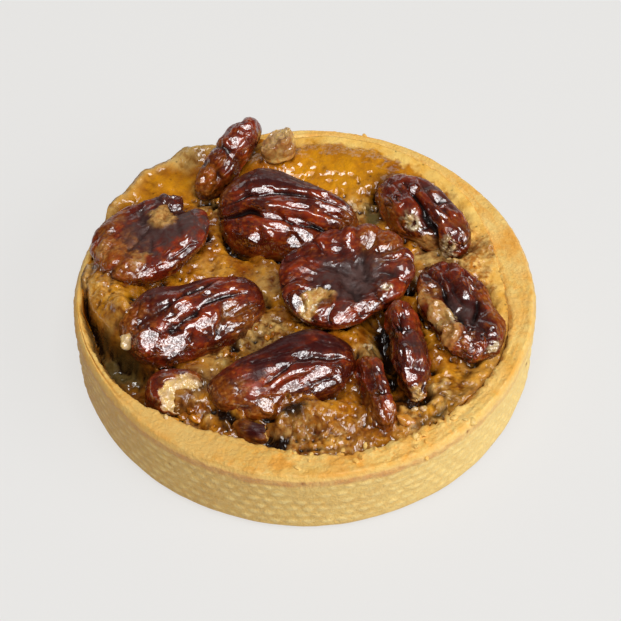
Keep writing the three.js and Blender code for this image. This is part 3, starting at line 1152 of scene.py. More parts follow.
@dataclass
class Pecan:
    """A pecan half or a broken piece of one, lying in the filling."""

    node: str
    length: float
    width: float
    thickness: float
    yaw: float
    pitch: float
    roll: float
    notch: float = 0.0
    side: Side = Side.DOME
    seed: int = 1
    strokes: tuple[Stroke, ...] = ()
    patches: tuple[Patch, ...] = ()
    pools: tuple[Pool, ...] = ()
    folds: tuple[int, float] = (0, 0.0)
    broken: Break | None = None
    rings: int = 140
    outline: tuple[tuple[float, ...], tuple[float, ...]] = ((1.0, 1.0), (1.0, 1.0))
    rim: float = 0.0
    kernel: bool = False
    facet: float = 0.0
    wrinkle: float = 0.08
    crease: float = 0.32
    lump: float = 0.13
    amber_line: float = 0.0

    DOME_SHARE = 0.72
    OUTLINE_POWER = 0.86
    SECTION_POWER = 0.8
    TAPER = 0.1
    NOTCH_SPREAD = 0.33
    SHOWN_SHARE = 0.86
    HIDDEN_SHARE = 0.4
    SKIN_SEED = 100
    FORM_SEED = 300
    SYRUP_LINE = 14.6
    SYRUP_FADE = 1.2
    SEAM = 0.05
    DIMPLE = 0.008
    WARPS = (Noise(0.0, 4.5), Noise(19.0, 4.5))
    OUTLINES = Noise(80.0, 2.6, 3, 0.6)
    CRYSTALS = Noise(71.0, 1.2, 3)
    WRINKLES = Noise(0.0, (4.2, 1.7, 1.7), 3, 0.45)
    LUMPS = Noise(50.0, 3.6, 2)
    CRUMBLE = Noise(7.0, 1.1, 3, 0.6)
    DIMPLES = Noise(44.0, 0.95, 2)
    SPREAD = Noise(0.0, 5.0)
    CREASES = Noise(61.0, (8.0, 2.4, 2.4), 2, 0.4)
    CREASED = Noise(33.0, 5.0)
    SNAPPED = Noise(3.0, 2.2, 3, 0.6)
    BENDS = (Noise(0.0, 8.0), Noise(13.0, 8.0), Noise(29.0, 8.0))
    BENT = np.array([0.5, 0.9, 0.7])
    FULL_WIDTH = 12.0

    def turns(self) -> Array:
        """Lay out the angles round the nut's length.

        Returns:
            The angles, closer together on the side that shows.
        """
        shown, hidden = int(self.rings * self.SHOWN_SHARE), int(self.rings * self.HIDDEN_SHARE)
        parts = (shown, hidden) if self.side is Side.DOME else (hidden, shown)
        first = np.linspace(0, math.pi, parts[0], endpoint=False)
        return np.concatenate([first, np.linspace(math.pi, TURN, parts[1], endpoint=False)])

    def form(self, shaped: bool = True) -> Array:
        """Return the rings of the smooth nut, from its -X end to its +X end.

        Args:
            shaped: Whether the nut has its own outline, or the plain one of its CAD solid.

        Returns:
            Points of shape (rings, sectors, 3).
        """
        polar = (np.arange(self.rings)[:, None] + 0.5) / self.rings * math.pi
        turn = self.turns()[None, :]
        x, girth = -np.cos(polar) + 0 * turn, np.sin(polar) + 0 * turn
        side, up = np.cos(turn), np.sin(turn)
        outline = np.arctan2(girth * side, x)
        along = signed_power(x, self.OUTLINE_POWER) * (1 - self.notch * bell(outline, self.NOTCH_SPREAD))
        share = np.where(up >= 0, self.DOME_SHARE, self.DOME_SHARE - 1)
        across = side * girth**self.OUTLINE_POWER * (1 - self.TAPER * along)
        far, near = (np.interp(along, np.linspace(-1, 1, len(row)), row) for row in self.outline)
        if shaped:
            across = across * np.where(side >= 0, far, near)
        rise = girth**self.SECTION_POWER * np.abs(up) ** self.SECTION_POWER * share
        smooth = np.stack([along * self.length / 2, across * self.width / 2, rise * self.thickness], -1)
        if not shaped:
            return smooth
        uneven = Grain(self.FORM_SEED + self.seed)
        shift = np.stack([noise.of(uneven, smooth) for noise in self.BENDS], -1)
        return smooth + shift * self.BENT * min(1.0, self.width / self.FULL_WIDTH)

    def matrix(self) -> Matrix:
        """Return how the nut is turned, without its place."""
        turned = Euler((math.radians(self.roll), -math.radians(self.pitch), math.radians(self.yaw)), "XYZ")
        return turned.to_matrix()

    def build(self, finish: bpy.types.Material) -> bpy.types.Object:
        """Make the pecan where its CAD solid is.

        Args:
            finish: Its material.

        Returns:
            The piece.
        """
        grain = Grain(self.SKIN_SEED + self.seed)
        rings = self.form()
        warp = np.stack([noise.of(grain, rings) for noise in self.WARPS], -1)
        place = rings[..., :2] + 0.75 * warp
        upper = rings[..., 2] > 0 if self.side is Side.DOME else rings[..., 2] <= 0
        upper = upper | (np.abs(rings[..., 2]) < self.SEAM)
        cut = self.carve(grain, rings, place, upper)
        ragged = 0.45 * self.OUTLINES.of(grain, rings)
        crystals = self.CRYSTALS.of(grain, rings)
        masks, lift = self.coat(place, upper, ragged, crystals)
        wrinkles = self.WRINKLES.of(grain, rings)
        lumps = self.LUMPS.of(grain, rings)
        rough = clamped(masks[Coat.BARE] + masks[Coat.FROST] + 0.6 * masks[Coat.AMBER])
        crumble = self.CRUMBLE.of(grain, rings) * (0.24 * rough + 0.16 * masks[Coat.FROST])
        dimples = self.DIMPLE * self.DIMPLES.of(grain, rings)
        lift = lift + self.facet * (0.5 - grain.cells(rings + 5.0, 3.2)[0])
        relief = self.wrinkle * wrinkles + self.lump * lumps - cut + lift + crumble + dimples
        rings = rings + normals_of(rings) * relief[..., None]
        settled = np.zeros(upper.shape)
        facing = np.array(Pool.FACING) @ np.array(self.matrix())
        for pool in self.pools:
            rings, share = pool.lay(rings, upper, facing, ragged + 0.2 * crystals)
            settled = np.maximum(settled, share)
        rings, fresh = self.snap(rings, grain)
        piece = Draft.of_rings(rings, rings[0].mean(0), rings[-1].mean(0)).piece(self.node + "_nut")
        self.put(piece)
        world = (rings @ np.array(self.matrix()).T) + np.array(piece.location) / MM
        self.soak(masks, world[..., 2] + 1.4 * ragged, fresh)
        # Painted shade: the grooves and the hollows of the relief are painted near-black.
        groove = clamped(np.clip(cut, 0, 9) / 1.4 + (blurred(relief, 6) - relief) * 2.5)
        matt = 0.75 * rough * (1 - masks[Coat.FROST]) + 0.4 * fresh + 0.5 * masks[Coat.DUSK] + 0.7 * groove**2
        wet = np.clip(1 - matt, 0.1, 1) * (1 - 0.95 * clamped(masks[Coat.DRY]))
        # Painted light: where the relief stands above its blur, the ridge mask rises and the crest is painted
        # lighter.
        crest = relief - blurred(relief, 24)
        stored = {coat.value: masks[coat] for coat in Coat} | {
            "groove": groove * (1 - settled),
            "pooled": settled,
            "ridge": clamped(0.5 + 0.6 * wrinkles + 0.5 * lumps + 1.4 * crest),
            "wet": np.maximum(wet, 0.86 * settled),
        }
        for name, values in stored.items():
            paint(piece, name, np.append(values.ravel(), [values[0].mean(), values[-1].mean()]))
        piece.data.materials.append(finish)
        return settle(piece, "pale_kernel" if self.kernel else "pecan_skin", self.node)

    def carve(self, grain: Grain, rings: Array, place: Array, upper: Array) -> Array:
        """Carve the grooves, the folds, the edge and the fine creases.

        Args:
            grain: The nut's own noise.
            rings: The rings of the smooth nut.
            place: Places lengthwise and crosswise.
            upper: Which points lie on the side that shows.

        Returns:
            How deep each point is cut, below 0 where it is raised.
        """
        size = (self.length / 2, self.width / 2)
        cut = np.zeros(upper.shape)
        for stroke in self.strokes:
            cut = cut + stroke.depth * (stroke.at(place[..., 0], place[..., 1], size) * upper)
        shares = place / size
        reach = np.linalg.norm(shares, axis=-1)
        if self.folds[0]:
            bearing = np.arctan2(shares[..., 1], shares[..., 0]) + 0.25 * self.SPREAD.of(grain, rings)
            crest = np.abs(np.sin(bearing * self.folds[0] / 2)) ** 0.7
            cut = cut + self.folds[1] * (1 - crest) * smoothstep(reach, 0.35, 0.75) * upper
        cut = cut - self.rim * bell(reach - 0.8, 0.17) * upper
        line = self.CREASES.of(grain, rings)
        return cut + self.crease * bell(line, 0.09) * smoothstep(self.CREASED.of(grain, rings), -0.2, 0.5)

    def coat(
        self, place: Array, upper: Array, ragged: Array, crystals: Array
    ) -> tuple[dict[Coat, Array], Array]:
        """Lay the patches on the nut.

        Args:
            place: Places lengthwise and crosswise.
            upper: Which points lie on the side that shows.
            ragged: Noise for the outlines.
            crystals: Noise for the frost.

        Returns:
            The mask of each coat, and how high the patches stand.
        """
        masks = {coat: np.zeros(upper.shape) for coat in Coat}
        lift = np.zeros(upper.shape)
        for patch in self.patches:
            middle = np.array((patch.x * self.length, patch.y * self.width)) / 2
            apart = np.linalg.norm((place - middle) / (patch.along, patch.across), axis=-1)
            soft = 0.75 if patch.coat is Coat.BARE else 0.35
            mask = (1 - smoothstep(apart + ragged, soft, 1.15)) * patch.amount
            if patch.coat is Coat.FROST:
                mask = mask * smoothstep(crystals, -0.3, 0.12)
            masks[patch.coat] = np.maximum(masks[patch.coat], mask * upper)
            lift = lift + patch.lift * mask * upper
        return masks, lift

    def soak(self, masks: dict[Coat, Array], height: Array, fresh: Array) -> None:
        """Coat the nut where it lies in the caramel, and bare it where it is broken.

        Args:
            masks: The mask of each coat, which are changed.
            height: Height of each point over the table.
            fresh: How far each point belongs to the broken face.
        """
        line = self.SYRUP_LINE + self.amber_line
        sunk = 1 - smoothstep(height, line, line + self.SYRUP_FADE)
        coated = 1 - 0.85 * clamped(masks[Coat.AMBER])
        masks[Coat.AMBER] = clamped(masks[Coat.AMBER] + 0.75 * sunk)
        bare = clamped(np.maximum(masks[Coat.BARE], 0.7 * masks[Coat.FROST]) + fresh * coated)
        masks[Coat.BARE] = coated if self.kernel else bare
        frost = self.broken.frost if self.broken else 0.0
        masks[Coat.FROST] = clamped(masks[Coat.FROST] + fresh * coated * frost)

    def snap(self, rings: Array, grain: Grain) -> tuple[Array, Array]:
        """Cut the nut short at its broken face, if it has one, and leave the face rough.

        Args:
            rings: The rings of the nut.
            grain: The nut's own noise.

        Returns:
            The rings, and how far each point belongs to the broken face.
        """
        if not self.broken:
            return rings, np.zeros(rings.shape[:-1])
        facing = np.array(self.broken.facing) / np.linalg.norm(self.broken.facing)
        rough = 0.55 * self.SNAPPED.of(grain, rings)
        past = rings @ facing - (self.broken.reach + rough)
        inside = smoothstep(past, 0.0, 0.35)
        return rings - np.maximum(0, past)[..., None] * facing, inside

    def put(self, piece: bpy.types.Object) -> None:
        """Turn the piece and lay it where its CAD solid is, whose outline is plainer than its own.

        Args:
            piece: The piece.
        """
        turned = self.matrix()
        points = self.form(shaped=False).reshape(-1, 3) * MM
        if self.broken:
            points = np.array([vertex.co[:] for vertex in piece.data.vertices])
        world = points @ np.array(turned).T
        low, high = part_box(self.node)
        middle = (low + high) / 2 - Vector((world.min(0) + world.max(0)) / 2)
        piece.matrix_world = Matrix.Translation(middle) @ turned.to_4x4()


PECANS = (
    Pecan(
        "pecan_back_left", 20.5, 7.4, 8.4, 236, -18, -4, seed=1, rings=130, lump=0.22,
        outline=((1, 1, 0.85, 1.1, 1), (1, 1.05, 0.8, 1.05, 1)),
        strokes=rows(
            Stroke, (-0.02, -1, 0.06, 1, 0.9, 1), (0.45, -1, 0.55, 1, 0.6, 0.8),
            (-0.66, 0.1, -0.4, 0.1, -0.5, 2.2), (0.2, -0.3, 0.35, 0.3, -0.45, 1.5),
            (-0.9, -0.5, -0.2, -0.6, 0.5, 0.6), (0.1, 0.6, 0.9, 0.4, 0.5, 0.6),
        ),
        pools=rows(
            Pool, (-2.6, 1.1, 1.6, 1.1), (-6.5, 1, 0.9, 0.8), (0.3, 1.7, 0.6, 0.4), (8, -0.4, 0.8, 0.5),
        ),
        patches=grouped(
            Patch, Coat,
            amber=((0.7, 0, 5, 4, 1, 0.2), (-0.1, -0.6, 1.6, 1.4, 0.7)),
            dry=((0.5, 0, 4, 4, 0.6),),
        ),
    ),
    Pecan(
        "pecan_left_open", 25.2, 18.8, 8, 46, 2, 177, notch=0.3, side=Side.FACE, seed=2, folds=(13, 0.35),
        rim=0.5, outline=((0.9, 0.95, 1, 1, 0.95), (0.9, 0.98, 0.92, 0.72, 0.6)),
        strokes=rows(
            Stroke, (-0.65, 0.15, 0.05, -0.07, 0.7, 0.4), (-0.1, -0.15, 0.3, -0.75, 0.6, 0.6),
            (0.3, 0.35, 0.6, 0.55, -0.8, 2.8), (0.5, -0.35, 0.7, -0.4, -0.8, 1.9),
            (0.1, 0.05, 0.75, -0.02, 1.3, 1.4), (-0.6, -0.55, 0, -0.7, -0.5, 1.8),
            (-0.6, 0.3, -0.1, 0.6, -0.4, 2.2), (-0.4, 0.5, -0.1, 0.15, 0.5, 0.4),
            (-0.5, -0.1, -0.2, -0.3, 0.4, 0.4),
        ),
        pools=rows(
            Pool, (1.5, 7.6, 0.9, 0.7), (-7.6, 7.5, 2.4, 0.6, 24), (-4.2, 8.7, 2.2, 0.5, 14),
            (9, -3.4, 0.7, 0.6),
        ),
        patches=grouped(
            Patch, Coat,
            amber=(
                (0.28, -0.06, 3.6, 3, 1, 0.6), (-0.75, 0, 6, 7.5, 1, 0.3), (-0.4, -0.85, 7.5, 3, 0.8, 0.2),
            ),
            bare=(
                (0.28, -0.06, 3.2, 2.6, 0.5, 0.6), (-0.75, -0.3, 2.4, 1.6, 0.25, 0.3),
                (-0.6, 0.45, 3, 1.4, 0.3, 0.3),
            ),
            deep=((0.1, 0, 12, 9, 0.9),),
            dusk=((0.4, 0.5, 6.6, 4.4, 1.6), (-0.1, 0.1, 10, 7, 1.5), (0.6, -0.5, 4, 2.6, 0.8)),
            dry=((-0.2, 0.2, 10, 6.5, 0.85),),
        ),
    ),
    Pecan(
        "pecan_back_centre", 28.6, 20, 10.5, -7, 0, 16, seed=3, rings=162, crease=0.12, wrinkle=0.03,
        lump=0.05, outline=((1, 1, 0.84, 0.68, 0.5), (0.9, 1, 1, 0.9, 0.6)),
        strokes=rows(
            Stroke, (-1, -0.25, 0.72, -0.56, 1.8, 0.65, 0.5), (-0.95, -0.1, 0.5, 0.1, 1, 0.5, 1.4),
            (0.4, 0.12, 0.95, 0, 0.6, 0.5), (-0.75, -0.2, 0.55, -0.22, -0.7, 1.3, 0.8),
            (-0.5, -0.75, 0.3, -0.8, -0.5, 3.2), (-0.6, 0.4, -0.2, 0.45, -0.5, 3),
            (0, 0.55, 0.6, 0.4, 0.4, 0.6), (0.5, -0.1, 0.95, -0.3, 0.4, 0.6),
            (0.15, -0.8, 0.5, -0.72, -0.5, 2), (0.2, 0.3, 0.55, 0.28, -0.4, 1.4),
        ),
        pools=rows(
            Pool, (-5.8, 2.1, 1.9, 0.75), (0.8, -0.9, 2.7, 0.7, -8), (8.6, -0.5, 2.3, 0.8, -8),
            (7.4, 2.4, 1.1, 0.7), (-2.6, -3, 2.6, 0.5, -6), (2.4, -3.6, 2.6, 0.5, -6),
            (-5.8, -7.6, 1.5, 0.9, 30), (0.4, -5.7, 3, 0.9, -6), (3.9, -6.2, 2.6, 1.4, -36),
            (2.4, -7.9, 1.2, 1.6, 24), (-2.4, -7, 0.6, 0.9, 20),
        ),
        patches=grouped(
            Patch, Coat,
            deep=((-0.2, 0.4, 11, 4.6, 1),),
            dusk=((-0.1, 0.75, 11, 3, 0.9),),
            dry=((0, 0.6, 12, 3, 0.7),),
            amber=((-0.95, 0.45, 3.4, 4.5, 0.6), (0.95, -0.1, 2.6, 5, 0.6)),
        ),
    ),
    Pecan(
        "pecan_left_front", 28.5, 18, 10, 21, 0, 9, seed=4, rings=162, crease=0.3, wrinkle=0.05, lump=0.08,
        outline=((0.85, 0.82, 0.76, 0.82, 0.9), (1, 1, 1, 1, 0.9)),
        strokes=rows(
            Stroke, (-0.6, -0.5, 0.1, -0.2, 1.2, 0.7, -0.5), (0.05, -0.2, 0.7, -0.08, 1, 0.6, 0.3),
            (-0.9, -0.12, -0.2, 0.1, 0.8, 1.1), (-0.25, 0.08, 0.5, 0.4, 1.2, 0.6, 0.4),
            (0.1, -0.85, 0.5, -0.4, 0.9, 0.6), (0.4, -0.6, 0.85, -0.35, 0.7, 0.5),
            (-0.3, -0.95, -0.1, -0.6, 0.7, 0.6), (-0.7, -0.7, -0.45, -0.75, -0.6, 2.6),
            (-0.35, -0.05, 0, 0.05, -0.7, 1.6), (0, -0.5, 0.3, -0.35, -0.5, 2),
            (0.55, 0.2, 0.85, 0.1, -0.4, 2),
        ),
        pools=rows(
            Pool, (-4.9, -2.6, 1.2, 0.5, -14), (-2.4, -1.7, 2.2, 0.5, 24), (-10.6, -4.6, 2.1, 1.9),
            (-6.1, -6.9, 3, 1.9, 12, 1.6), (-0.2, -5.2, 1.5, 1.3, 30), (6.5, -2.7, 1.5, 0.6, 10),
            (3.1, 0.8, 0.8, 1),
        ),
        patches=grouped(
            Patch, Coat,
            dusk=((-0.3, 0.8, 11, 2.2, 0.8), (-0.6, 0.6, 5, 2.6, 0.8)),
            amber=((0.6, -0.6, 5, 3, 0.7), (-0.95, 0.35, 5, 5.6, 1, 0.3)),
            deep=((-0.3, 0.3, 9, 4, 0.8),),
            dry=((-0.7, 0.25, 4.6, 3.6, 0.9), (-0.1, 0.6, 11, 2.6, 0.8)),
        ),
    ),
    Pecan(
        "pecan_centre_open", 28, 20.8, 7.2, 33, 0, 187, notch=0.12, side=Side.FACE, seed=5, folds=(14, 0.8),
        rings=162, rim=0.9, crease=0.2, wrinkle=0.07, outline=((1, 1, 1, 1, 0.9), (1, 1, 0.97, 0.9, 0.8)),
        strokes=rows(
            Stroke, (-0.32, 0.28, 0.32, 0.08, 1, 2.3), (0, 0.2, 0.55, 0.62, 1, 1.5),
            (0, 0.2, 0.55, -0.4, 1, 1.2), (0, 0.15, -0.35, -0.45, 0.8, 1),
            (-0.1, 0.25, -0.25, 0.8, 0.9, 1.6), (-0.8, 0.2, -0.45, 0.4, 1.2, 1.9),
            (0.5, -0.1, 0.7, 0, -0.6, 2.4), (0.1, -0.6, 0.4, -0.65, -0.6, 2.4),
            (-0.55, -0.25, -0.35, -0.6, -0.6, 2.4),
        ),
        pools=rows(
            Pool, (7.1, -3.2, 1.7, 0.75, -49), (0.2, -5.1, 1, 0.8), (7.7, -0.2, 0.7, 0.9),
            (3.6, 6.8, 0.8, 0.7), (-3.2, 8.1, 2.2, 0.8, 3), (-8.4, 8.4, 0.9, 0.8), (-12.8, 1.8, 0.8, 1.6),
            (-0.6, 9.4, 1.4, 0.6),
        ),
        patches=grouped(
            Patch, Coat,
            deep=((-0.25, 0, 9, 7, 0.8),),
            dusk=(
                (0.02, 0.2, 8, 4.4, 1.6), (0.45, 0.5, 3.8, 2.2, 1), (-0.3, 0.7, 4.4, 2.4, 0.8),
                (-0.3, -0.3, 5, 2.4, 0.6),
            ),
            dry=((0, 0.15, 8, 5, 0.9), (-0.5, -0.5, 7, 5, 0.9), (0.15, -0.85, 5, 3, 0.8)),
            bare=((-0.68, 0.22, 3, 1.6, 0.8, 0.2), (-0.86, 0.4, 2.2, 1.8, 0.8, 0.2)),
            frost=((-0.8, 0.36, 1.6, 1.2, 0.9), (0.26, 0.72, 1.2, 0.9, 0.9)),
            amber=((-0.62, 0.42, 2.4, 1.8, 0.8, 0.1), (0.65, -0.3, 5, 6, 0.75)),
        ),
    ),
    Pecan(
        "pecan_front", 29, 16.8, 10, 17, 0, 8, seed=6, rings=162, wrinkle=0.025, lump=0.04, crease=0.12,
        outline=((0.4, 0.58, 0.78, 1, 1), (0.9, 1, 1, 1, 1)),
        strokes=rows(
            Stroke, (-0.35, -0.5, 0.1, -0.2, 0.6, 0.6, 0.3), (0.06, -0.18, 0.85, -0.24, 0.8, 0.6, 0.5),
            (-0.3, -0.74, 0.72, -0.62, 0.9, 0.5, 0.4), (-0.5, 0.1, 0, 0.2, 0.4, 0.6, 0.4),
            (0.1, 0.08, 0.35, 0.06, -0.4, 1.8), (0.5, 0.3, 0.9, 0.1, 0.4, 0.6),
        ),
        pools=rows(
            Pool, (3.8, 0.1, 1.7, 0.7, 14), (-0.8, -1.2, 0.8, 0.4, 40), (0.4, -5, 3.4, 0.8, 8),
            (6.4, -4.2, 3.4, 0.9, 8), (0.2, -7.4, 2.6, 0.6, 16), (6.4, -6.2, 3.2, 0.6, 12),
            (-5.4, -7.2, 2, 0.9, -38, 1.4), (-2.2, -7.7, 1.9, 1, 36, 1.4), (9.4, -5.2, 1.4, 0.8, -50),
        ),
        patches=grouped(
            Patch, Coat,
            deep=((0.1, 0.35, 15, 6.4, 1.2),),
            dusk=((0.15, 0.95, 11, 2.4, 1.5),),
            dry=(
                (-0.4, -0.3, 6.4, 3.6, 1.1), (0.2, 0.35, 13, 4.6, 0.95), (-0.55, 0.1, 7, 4, 0.9),
                (0, 0.75, 12, 3.4, 0.8),
            ),
            amber=((-0.85, -0.4, 4.6, 4, 0.9, 0.1), (-0.3, -1, 9, 2.6, 1, 0.1)),
        ),
    ),
    Pecan(
        "pecan_right_edge", 22, 8.6, 8.6, -80, -4, 14, seed=7, rings=140, wrinkle=0.4, crease=0.6, lump=0.5,
        outline=((0.85, 0.9, 0.95, 0.95, 0.75), (0.7, 0.66, 0.62, 0.66, 0.7)),
        strokes=rows(
            Stroke, (-0.7, 0.3, 0, 0.2, 0.8, 0.5), (-0.6, -0.4, 0.1, -0.3, 0.5, 0.6),
            (-0.3, -0.8, -0.2, 0.8, 0.7, 0.6), (0.05, 0.6, 0.5, 0.3, 0.6, 0.5),
            (-0.7, 0.1, -0.5, 0.3, -0.5, 1.5), (0.1, 0, 0.6, -0.05, -0.5, 1.6),
        ),
        pools=rows(
            Pool, (8.2, 0.1, 0.9, 1), (-6, 2.4, 0.9, 0.5), (3.6, -0.6, 0.8, 0.5), (-1.4, 0.8, 0.7, 0.4),
        ),
        patches=grouped(
            Patch, Coat,
            bare=((1, 0.1, 1.5, 1.9, 0.8),),
            frost=((1, 0.1, 1.3, 1.7, 1),),
            amber=((-0.7, 0.2, 2.4, 1.8, 0.5), (-0.05, -0.1, 1.5, 1, 0.8)),
            dusk=((0.2, 0.5, 5, 1.4, 0.7),),
            deep=((0, 0, 9, 5, 0.6),),
        ),
    ),
    Pecan(
        "pecan_right_open", 25.5, 14.6, 8, -68, 0, 174, notch=0.1, side=Side.FACE, seed=8, folds=(9, 0.5),
        lump=0.3, crease=0.6, outline=((0.8, 0.95, 1, 1, 0.9), (0.9, 1, 0.95, 0.9, 0.9)),
        strokes=rows(
            Stroke, (-0.5, 0.24, 0.5, 0.26, 1.5, 0.8), (-0.8, 0.1, -0.3, 0.12, -0.8, 0.9),
            (-0.7, -0.1, 0, 0, 0.8, 0.5), (-0.8, -0.3, -0.1, -0.3, -0.9, 1.2),
            (-0.1, -0.5, 0.5, 0.1, 0.9, 0.6), (0.1, -0.2, 0.7, -0.1, 0.9, 0.7),
            (0.2, -0.5, 0.7, -0.4, -0.8, 1.1), (0.35, 0.75, 0.6, 0.7, -1.1, 1.6),
            (-0.2, 0.6, 0.1, 0.6, -0.8, 1.4), (0.75, 0.2, 0.8, -0.5, -0.8, 0.9),
            (0.4, 0.6, 0.52, 0.85, 1.1, 0.6), (0.1, 0.55, 0.2, 0.9, 0.9, 0.5),
        ),
        pools=rows(
            Pool, (-7, 3.4, 0.9, 0.8), (0.5, 0.8, 0.5, 1), (8, 3, 0.9, 0.5), (-3.6, -3.8, 0.9, 0.5),
            (8.8, -2.2, 0.6, 0.9), (4.2, 5.6, 0.8, 0.6, 30), (-1.5, 5.2, 0.9, 0.4), (7.2, 5, 0.6, 0.5),
        ),
        patches=grouped(
            Patch, Coat,
            bare=((0, 0.7, 6, 1.8, 0.55, 0.3), (0.5, 0.7, 2.4, 2, 0.35, 0.4)),
            amber=((-0.3, 0.7, 8, 2.6, 0.8, 0.2), (0.52, 0.7, 3.4, 3.2, 1, 0.9), (0.2, -0.8, 8, 2.4, 0.8)),
            deep=((0.1, 0, 11, 4.6, 0.9),),
            dusk=((0.1, 0.05, 5.6, 2, 1.3),),
            frost=((0.95, -0.25, 1.8, 3, 0.8), (0.2, 0.42, 3.4, 0.9, 0.8)),
        ),
    ),
    Pecan(
        "pecan_back_right", 25, 14.8, 9, -51, -1, 4, seed=9, crease=0.55, lump=0.25,
        outline=((0.8, 0.68, 0.66, 0.72, 0.6), (0.8, 1, 1, 0.9, 0.7)),
        strokes=rows(
            Stroke, (-0.5, -0.12, 0.75, -0.7, 1.7, 0.7, 0.3), (-0.5, 0.3, 0.6, 0, 0.9, 0.6),
            (0, 0.25, 0.5, 0.3, 0.6, 0.6), (-0.35, 0.1, 0.5, -0.25, -0.6, 1.3),
            (-0.35, -0.5, 0.2, -0.6, -0.6, 1.8), (0.1, -0.95, 0.2, -0.6, 0.6, 0.5),
            (0.1, 0.1, 0.3, 0.5, 0.5, 0.4),
        ),
        pools=rows(
            Pool, (-3.7, -0.5, 1.1, 0.7), (3.2, 0.9, 0.5, 1.1), (0.8, 1.6, 0.8, 0.5), (-2, -5.2, 0.6, 0.8),
            (5.6, -0.6, 0.9, 0.4),
        ),
        patches=grouped(
            Patch, Coat,
            frost=((0.12, -0.75, 2.6, 1.5, 1, 0.1), (0.86, -0.5, 2, 2, 0.8, 0.2)),
            amber=((-0.3, -0.95, 7, 2.4, 0.7), (0.6, -0.9, 5, 2.4, 0.8), (0.7, 0.2, 3, 3, 0.4)),
            bare=((0.6, -0.95, 4, 2, 0.35, 0.2),),
            dusk=((0, 0.45, 9, 2.4, 0.8),),
        ),
    ),
    Pecan(
        "piece_front_left", 11.5, 9.4, 8, 10, 0, -6, seed=10, rings=88,
        broken=Break((0.35, -0.75, 0.5), 3.2, 0.6),
        pools=rows(Pool, (-1.2, 2.2, 0.8, 0.4), (0, -1.6, 0.6, 0.4)),
        patches=grouped(
            Patch, Coat,
            amber=(
                (0.8, 0.2, 2.6, 3.4, 0.9), (0.5, -0.9, 2.2, 1.8, 1), (-0.1, -0.1, 2.6, 1, 0.6),
                (-0.5, -0.8, 1.2, 1, 0.5),
            ),
        ),
    ),
    Pecan(
        "piece_front_edge", 16.5, 5.4, 7.6, -77, 0, 0, seed=11, rings=110, wrinkle=0.3, crease=0.6,
        lump=0.5, outline=((1.4, 1.1, 0.9, 1.1, 1.6), (1.4, 1, 1, 1.1, 1.6)),
        strokes=rows(Stroke, (-0.7, -0.4, 0.7, -0.3, 0.6, 0.6), (0.3, -1, 0.4, 1, 0.6, 0.5)),
        pools=rows(
            Pool, (-2.4, 0.9, 0.9, 0.4), (0.6, 1.2, 0.7, 0.4), (5.6, 0.6, 1, 0.5), (6.6, -0.9, 0.6, 0.4),
        ),
        patches=grouped(
            Patch, Coat,
            amber=((0.5, -0.8, 4.4, 2.2, 0.9, 0.2), (-0.8, 0, 3, 3, 0.8), (0.9, 0.3, 2.4, 2.4, 0.8, 0.2)),
            dusk=((-0.3, 0.4, 4, 1.6, 0.7),),
        ),
    ),
    Pecan(
        "piece_front_sunk", 8.6, 4.2, 4.6, -12, 0, 0, seed=12, rings=60, broken=Break((1, 0.2, 0.1), 2.6),
        wrinkle=0.3, lump=0.4, crease=0.5,
        patches=grouped(
            Patch, Coat,
            deep=((0, 0, 9, 9, 1.3),),
            dusk=((0.2, 0.3, 3, 1.6, 0.8),),
            amber=((-0.6, 0.4, 2, 1.4, 0.6),),
            dry=((0, 0, 9, 9, 1.2),),
        ),
    ),
    Pecan(
        "piece_back_pale", 7.2, 6.6, 7, 20, 0, 0, seed=13, rings=76, lump=0.35, crease=0.1, kernel=True,
        facet=0.8, broken=Break((-0.4, 0.3, 0.8), 2.6, 0.3),
        pools=rows(Pool, (1.6, 0.8, 1.3, 0.8, 30), (-1.6, -1.2, 0.9, 0.5, 60)),
        patches=grouped(Patch, Coat, amber=((0, -0.6, 6, 3.4, 0.8), (-0.9, 0.6, 2, 2, 0.8))),
    ),
)


# ---- Filling -----------------------------------------------------------------------------------------


class Tone(Enum):
    """What a stretch of the filling looks like."""

    # Real toasting, and painted shade in the filling's valleys and hollows and beside the nuts.
    TOAST = "toast"
    GOLD = "gold"
    CRUMB = "crumb"
    CREAM = "cream"
    OLIVE = "olive"
    # Near-black: a few dark stains, and painted shade in the gaps and hollows.
    BURNT = "burnt"
    DOUGH = "dough"


@dataclass(frozen=True)
class Mound:
    """A rise of the filling, or a hollow where its height is below 0: an ellipse turned by yaw degrees."""

    x: float
    y: float
    height: float
    along: float
    across: float
    yaw: float = 0.0

    def at(self, x: Array, y: Array) -> Array:
        """Return its share of the height at each place.

        Args:
            x: Places along X.
            y: Places along Y.

        Returns:
            1 in the middle, falling to 0 around it.
        """
        cos, sin = math.cos(math.radians(self.yaw)), math.sin(math.radians(self.yaw))
        u = ((x - self.x) * cos + (y - self.y) * sin) / self.along
        v = ((y - self.y) * cos - (x - self.x) * sin) / self.across
        return np.exp(-(u * u + v * v))


@dataclass(frozen=True)
class Stain:
    """A toned stretch of the filling."""

    tone: Tone
    x: float
    y: float
    reach: float
    amount: float = 1.0

    def at(self, x: Array, y: Array) -> Array:
        """Return how strong it is at each place, softly from its middle outwards."""
        return self.amount * bell(np.hypot(x - self.x, y - self.y), self.reach)

    def ragged(self, x: Array, y: Array, noise: Array) -> Array:
        """Return how strong it is at each place, with an outline that the noise tears."""
        apart = np.hypot(x - self.x, y - self.y) / self.reach + noise
        return self.amount * (1 - smoothstep(apart, 0.3, 1.2))


@dataclass(frozen=True)
class Ground:
    """What the filling is like at each point of its grid: its place, its distances and its masks."""

    angle: Array
    share: Array
    to_wall: Array
    x: Array
    y: Array
    z: Array
    flat: Array
    near: Array
    ragged: Array
    ring: Array
    rough: Array
    rubble: Array
    crumb: Array
    crevice: Array
    froth: Array
    pits: Array
    gap: Array
    seam: Array


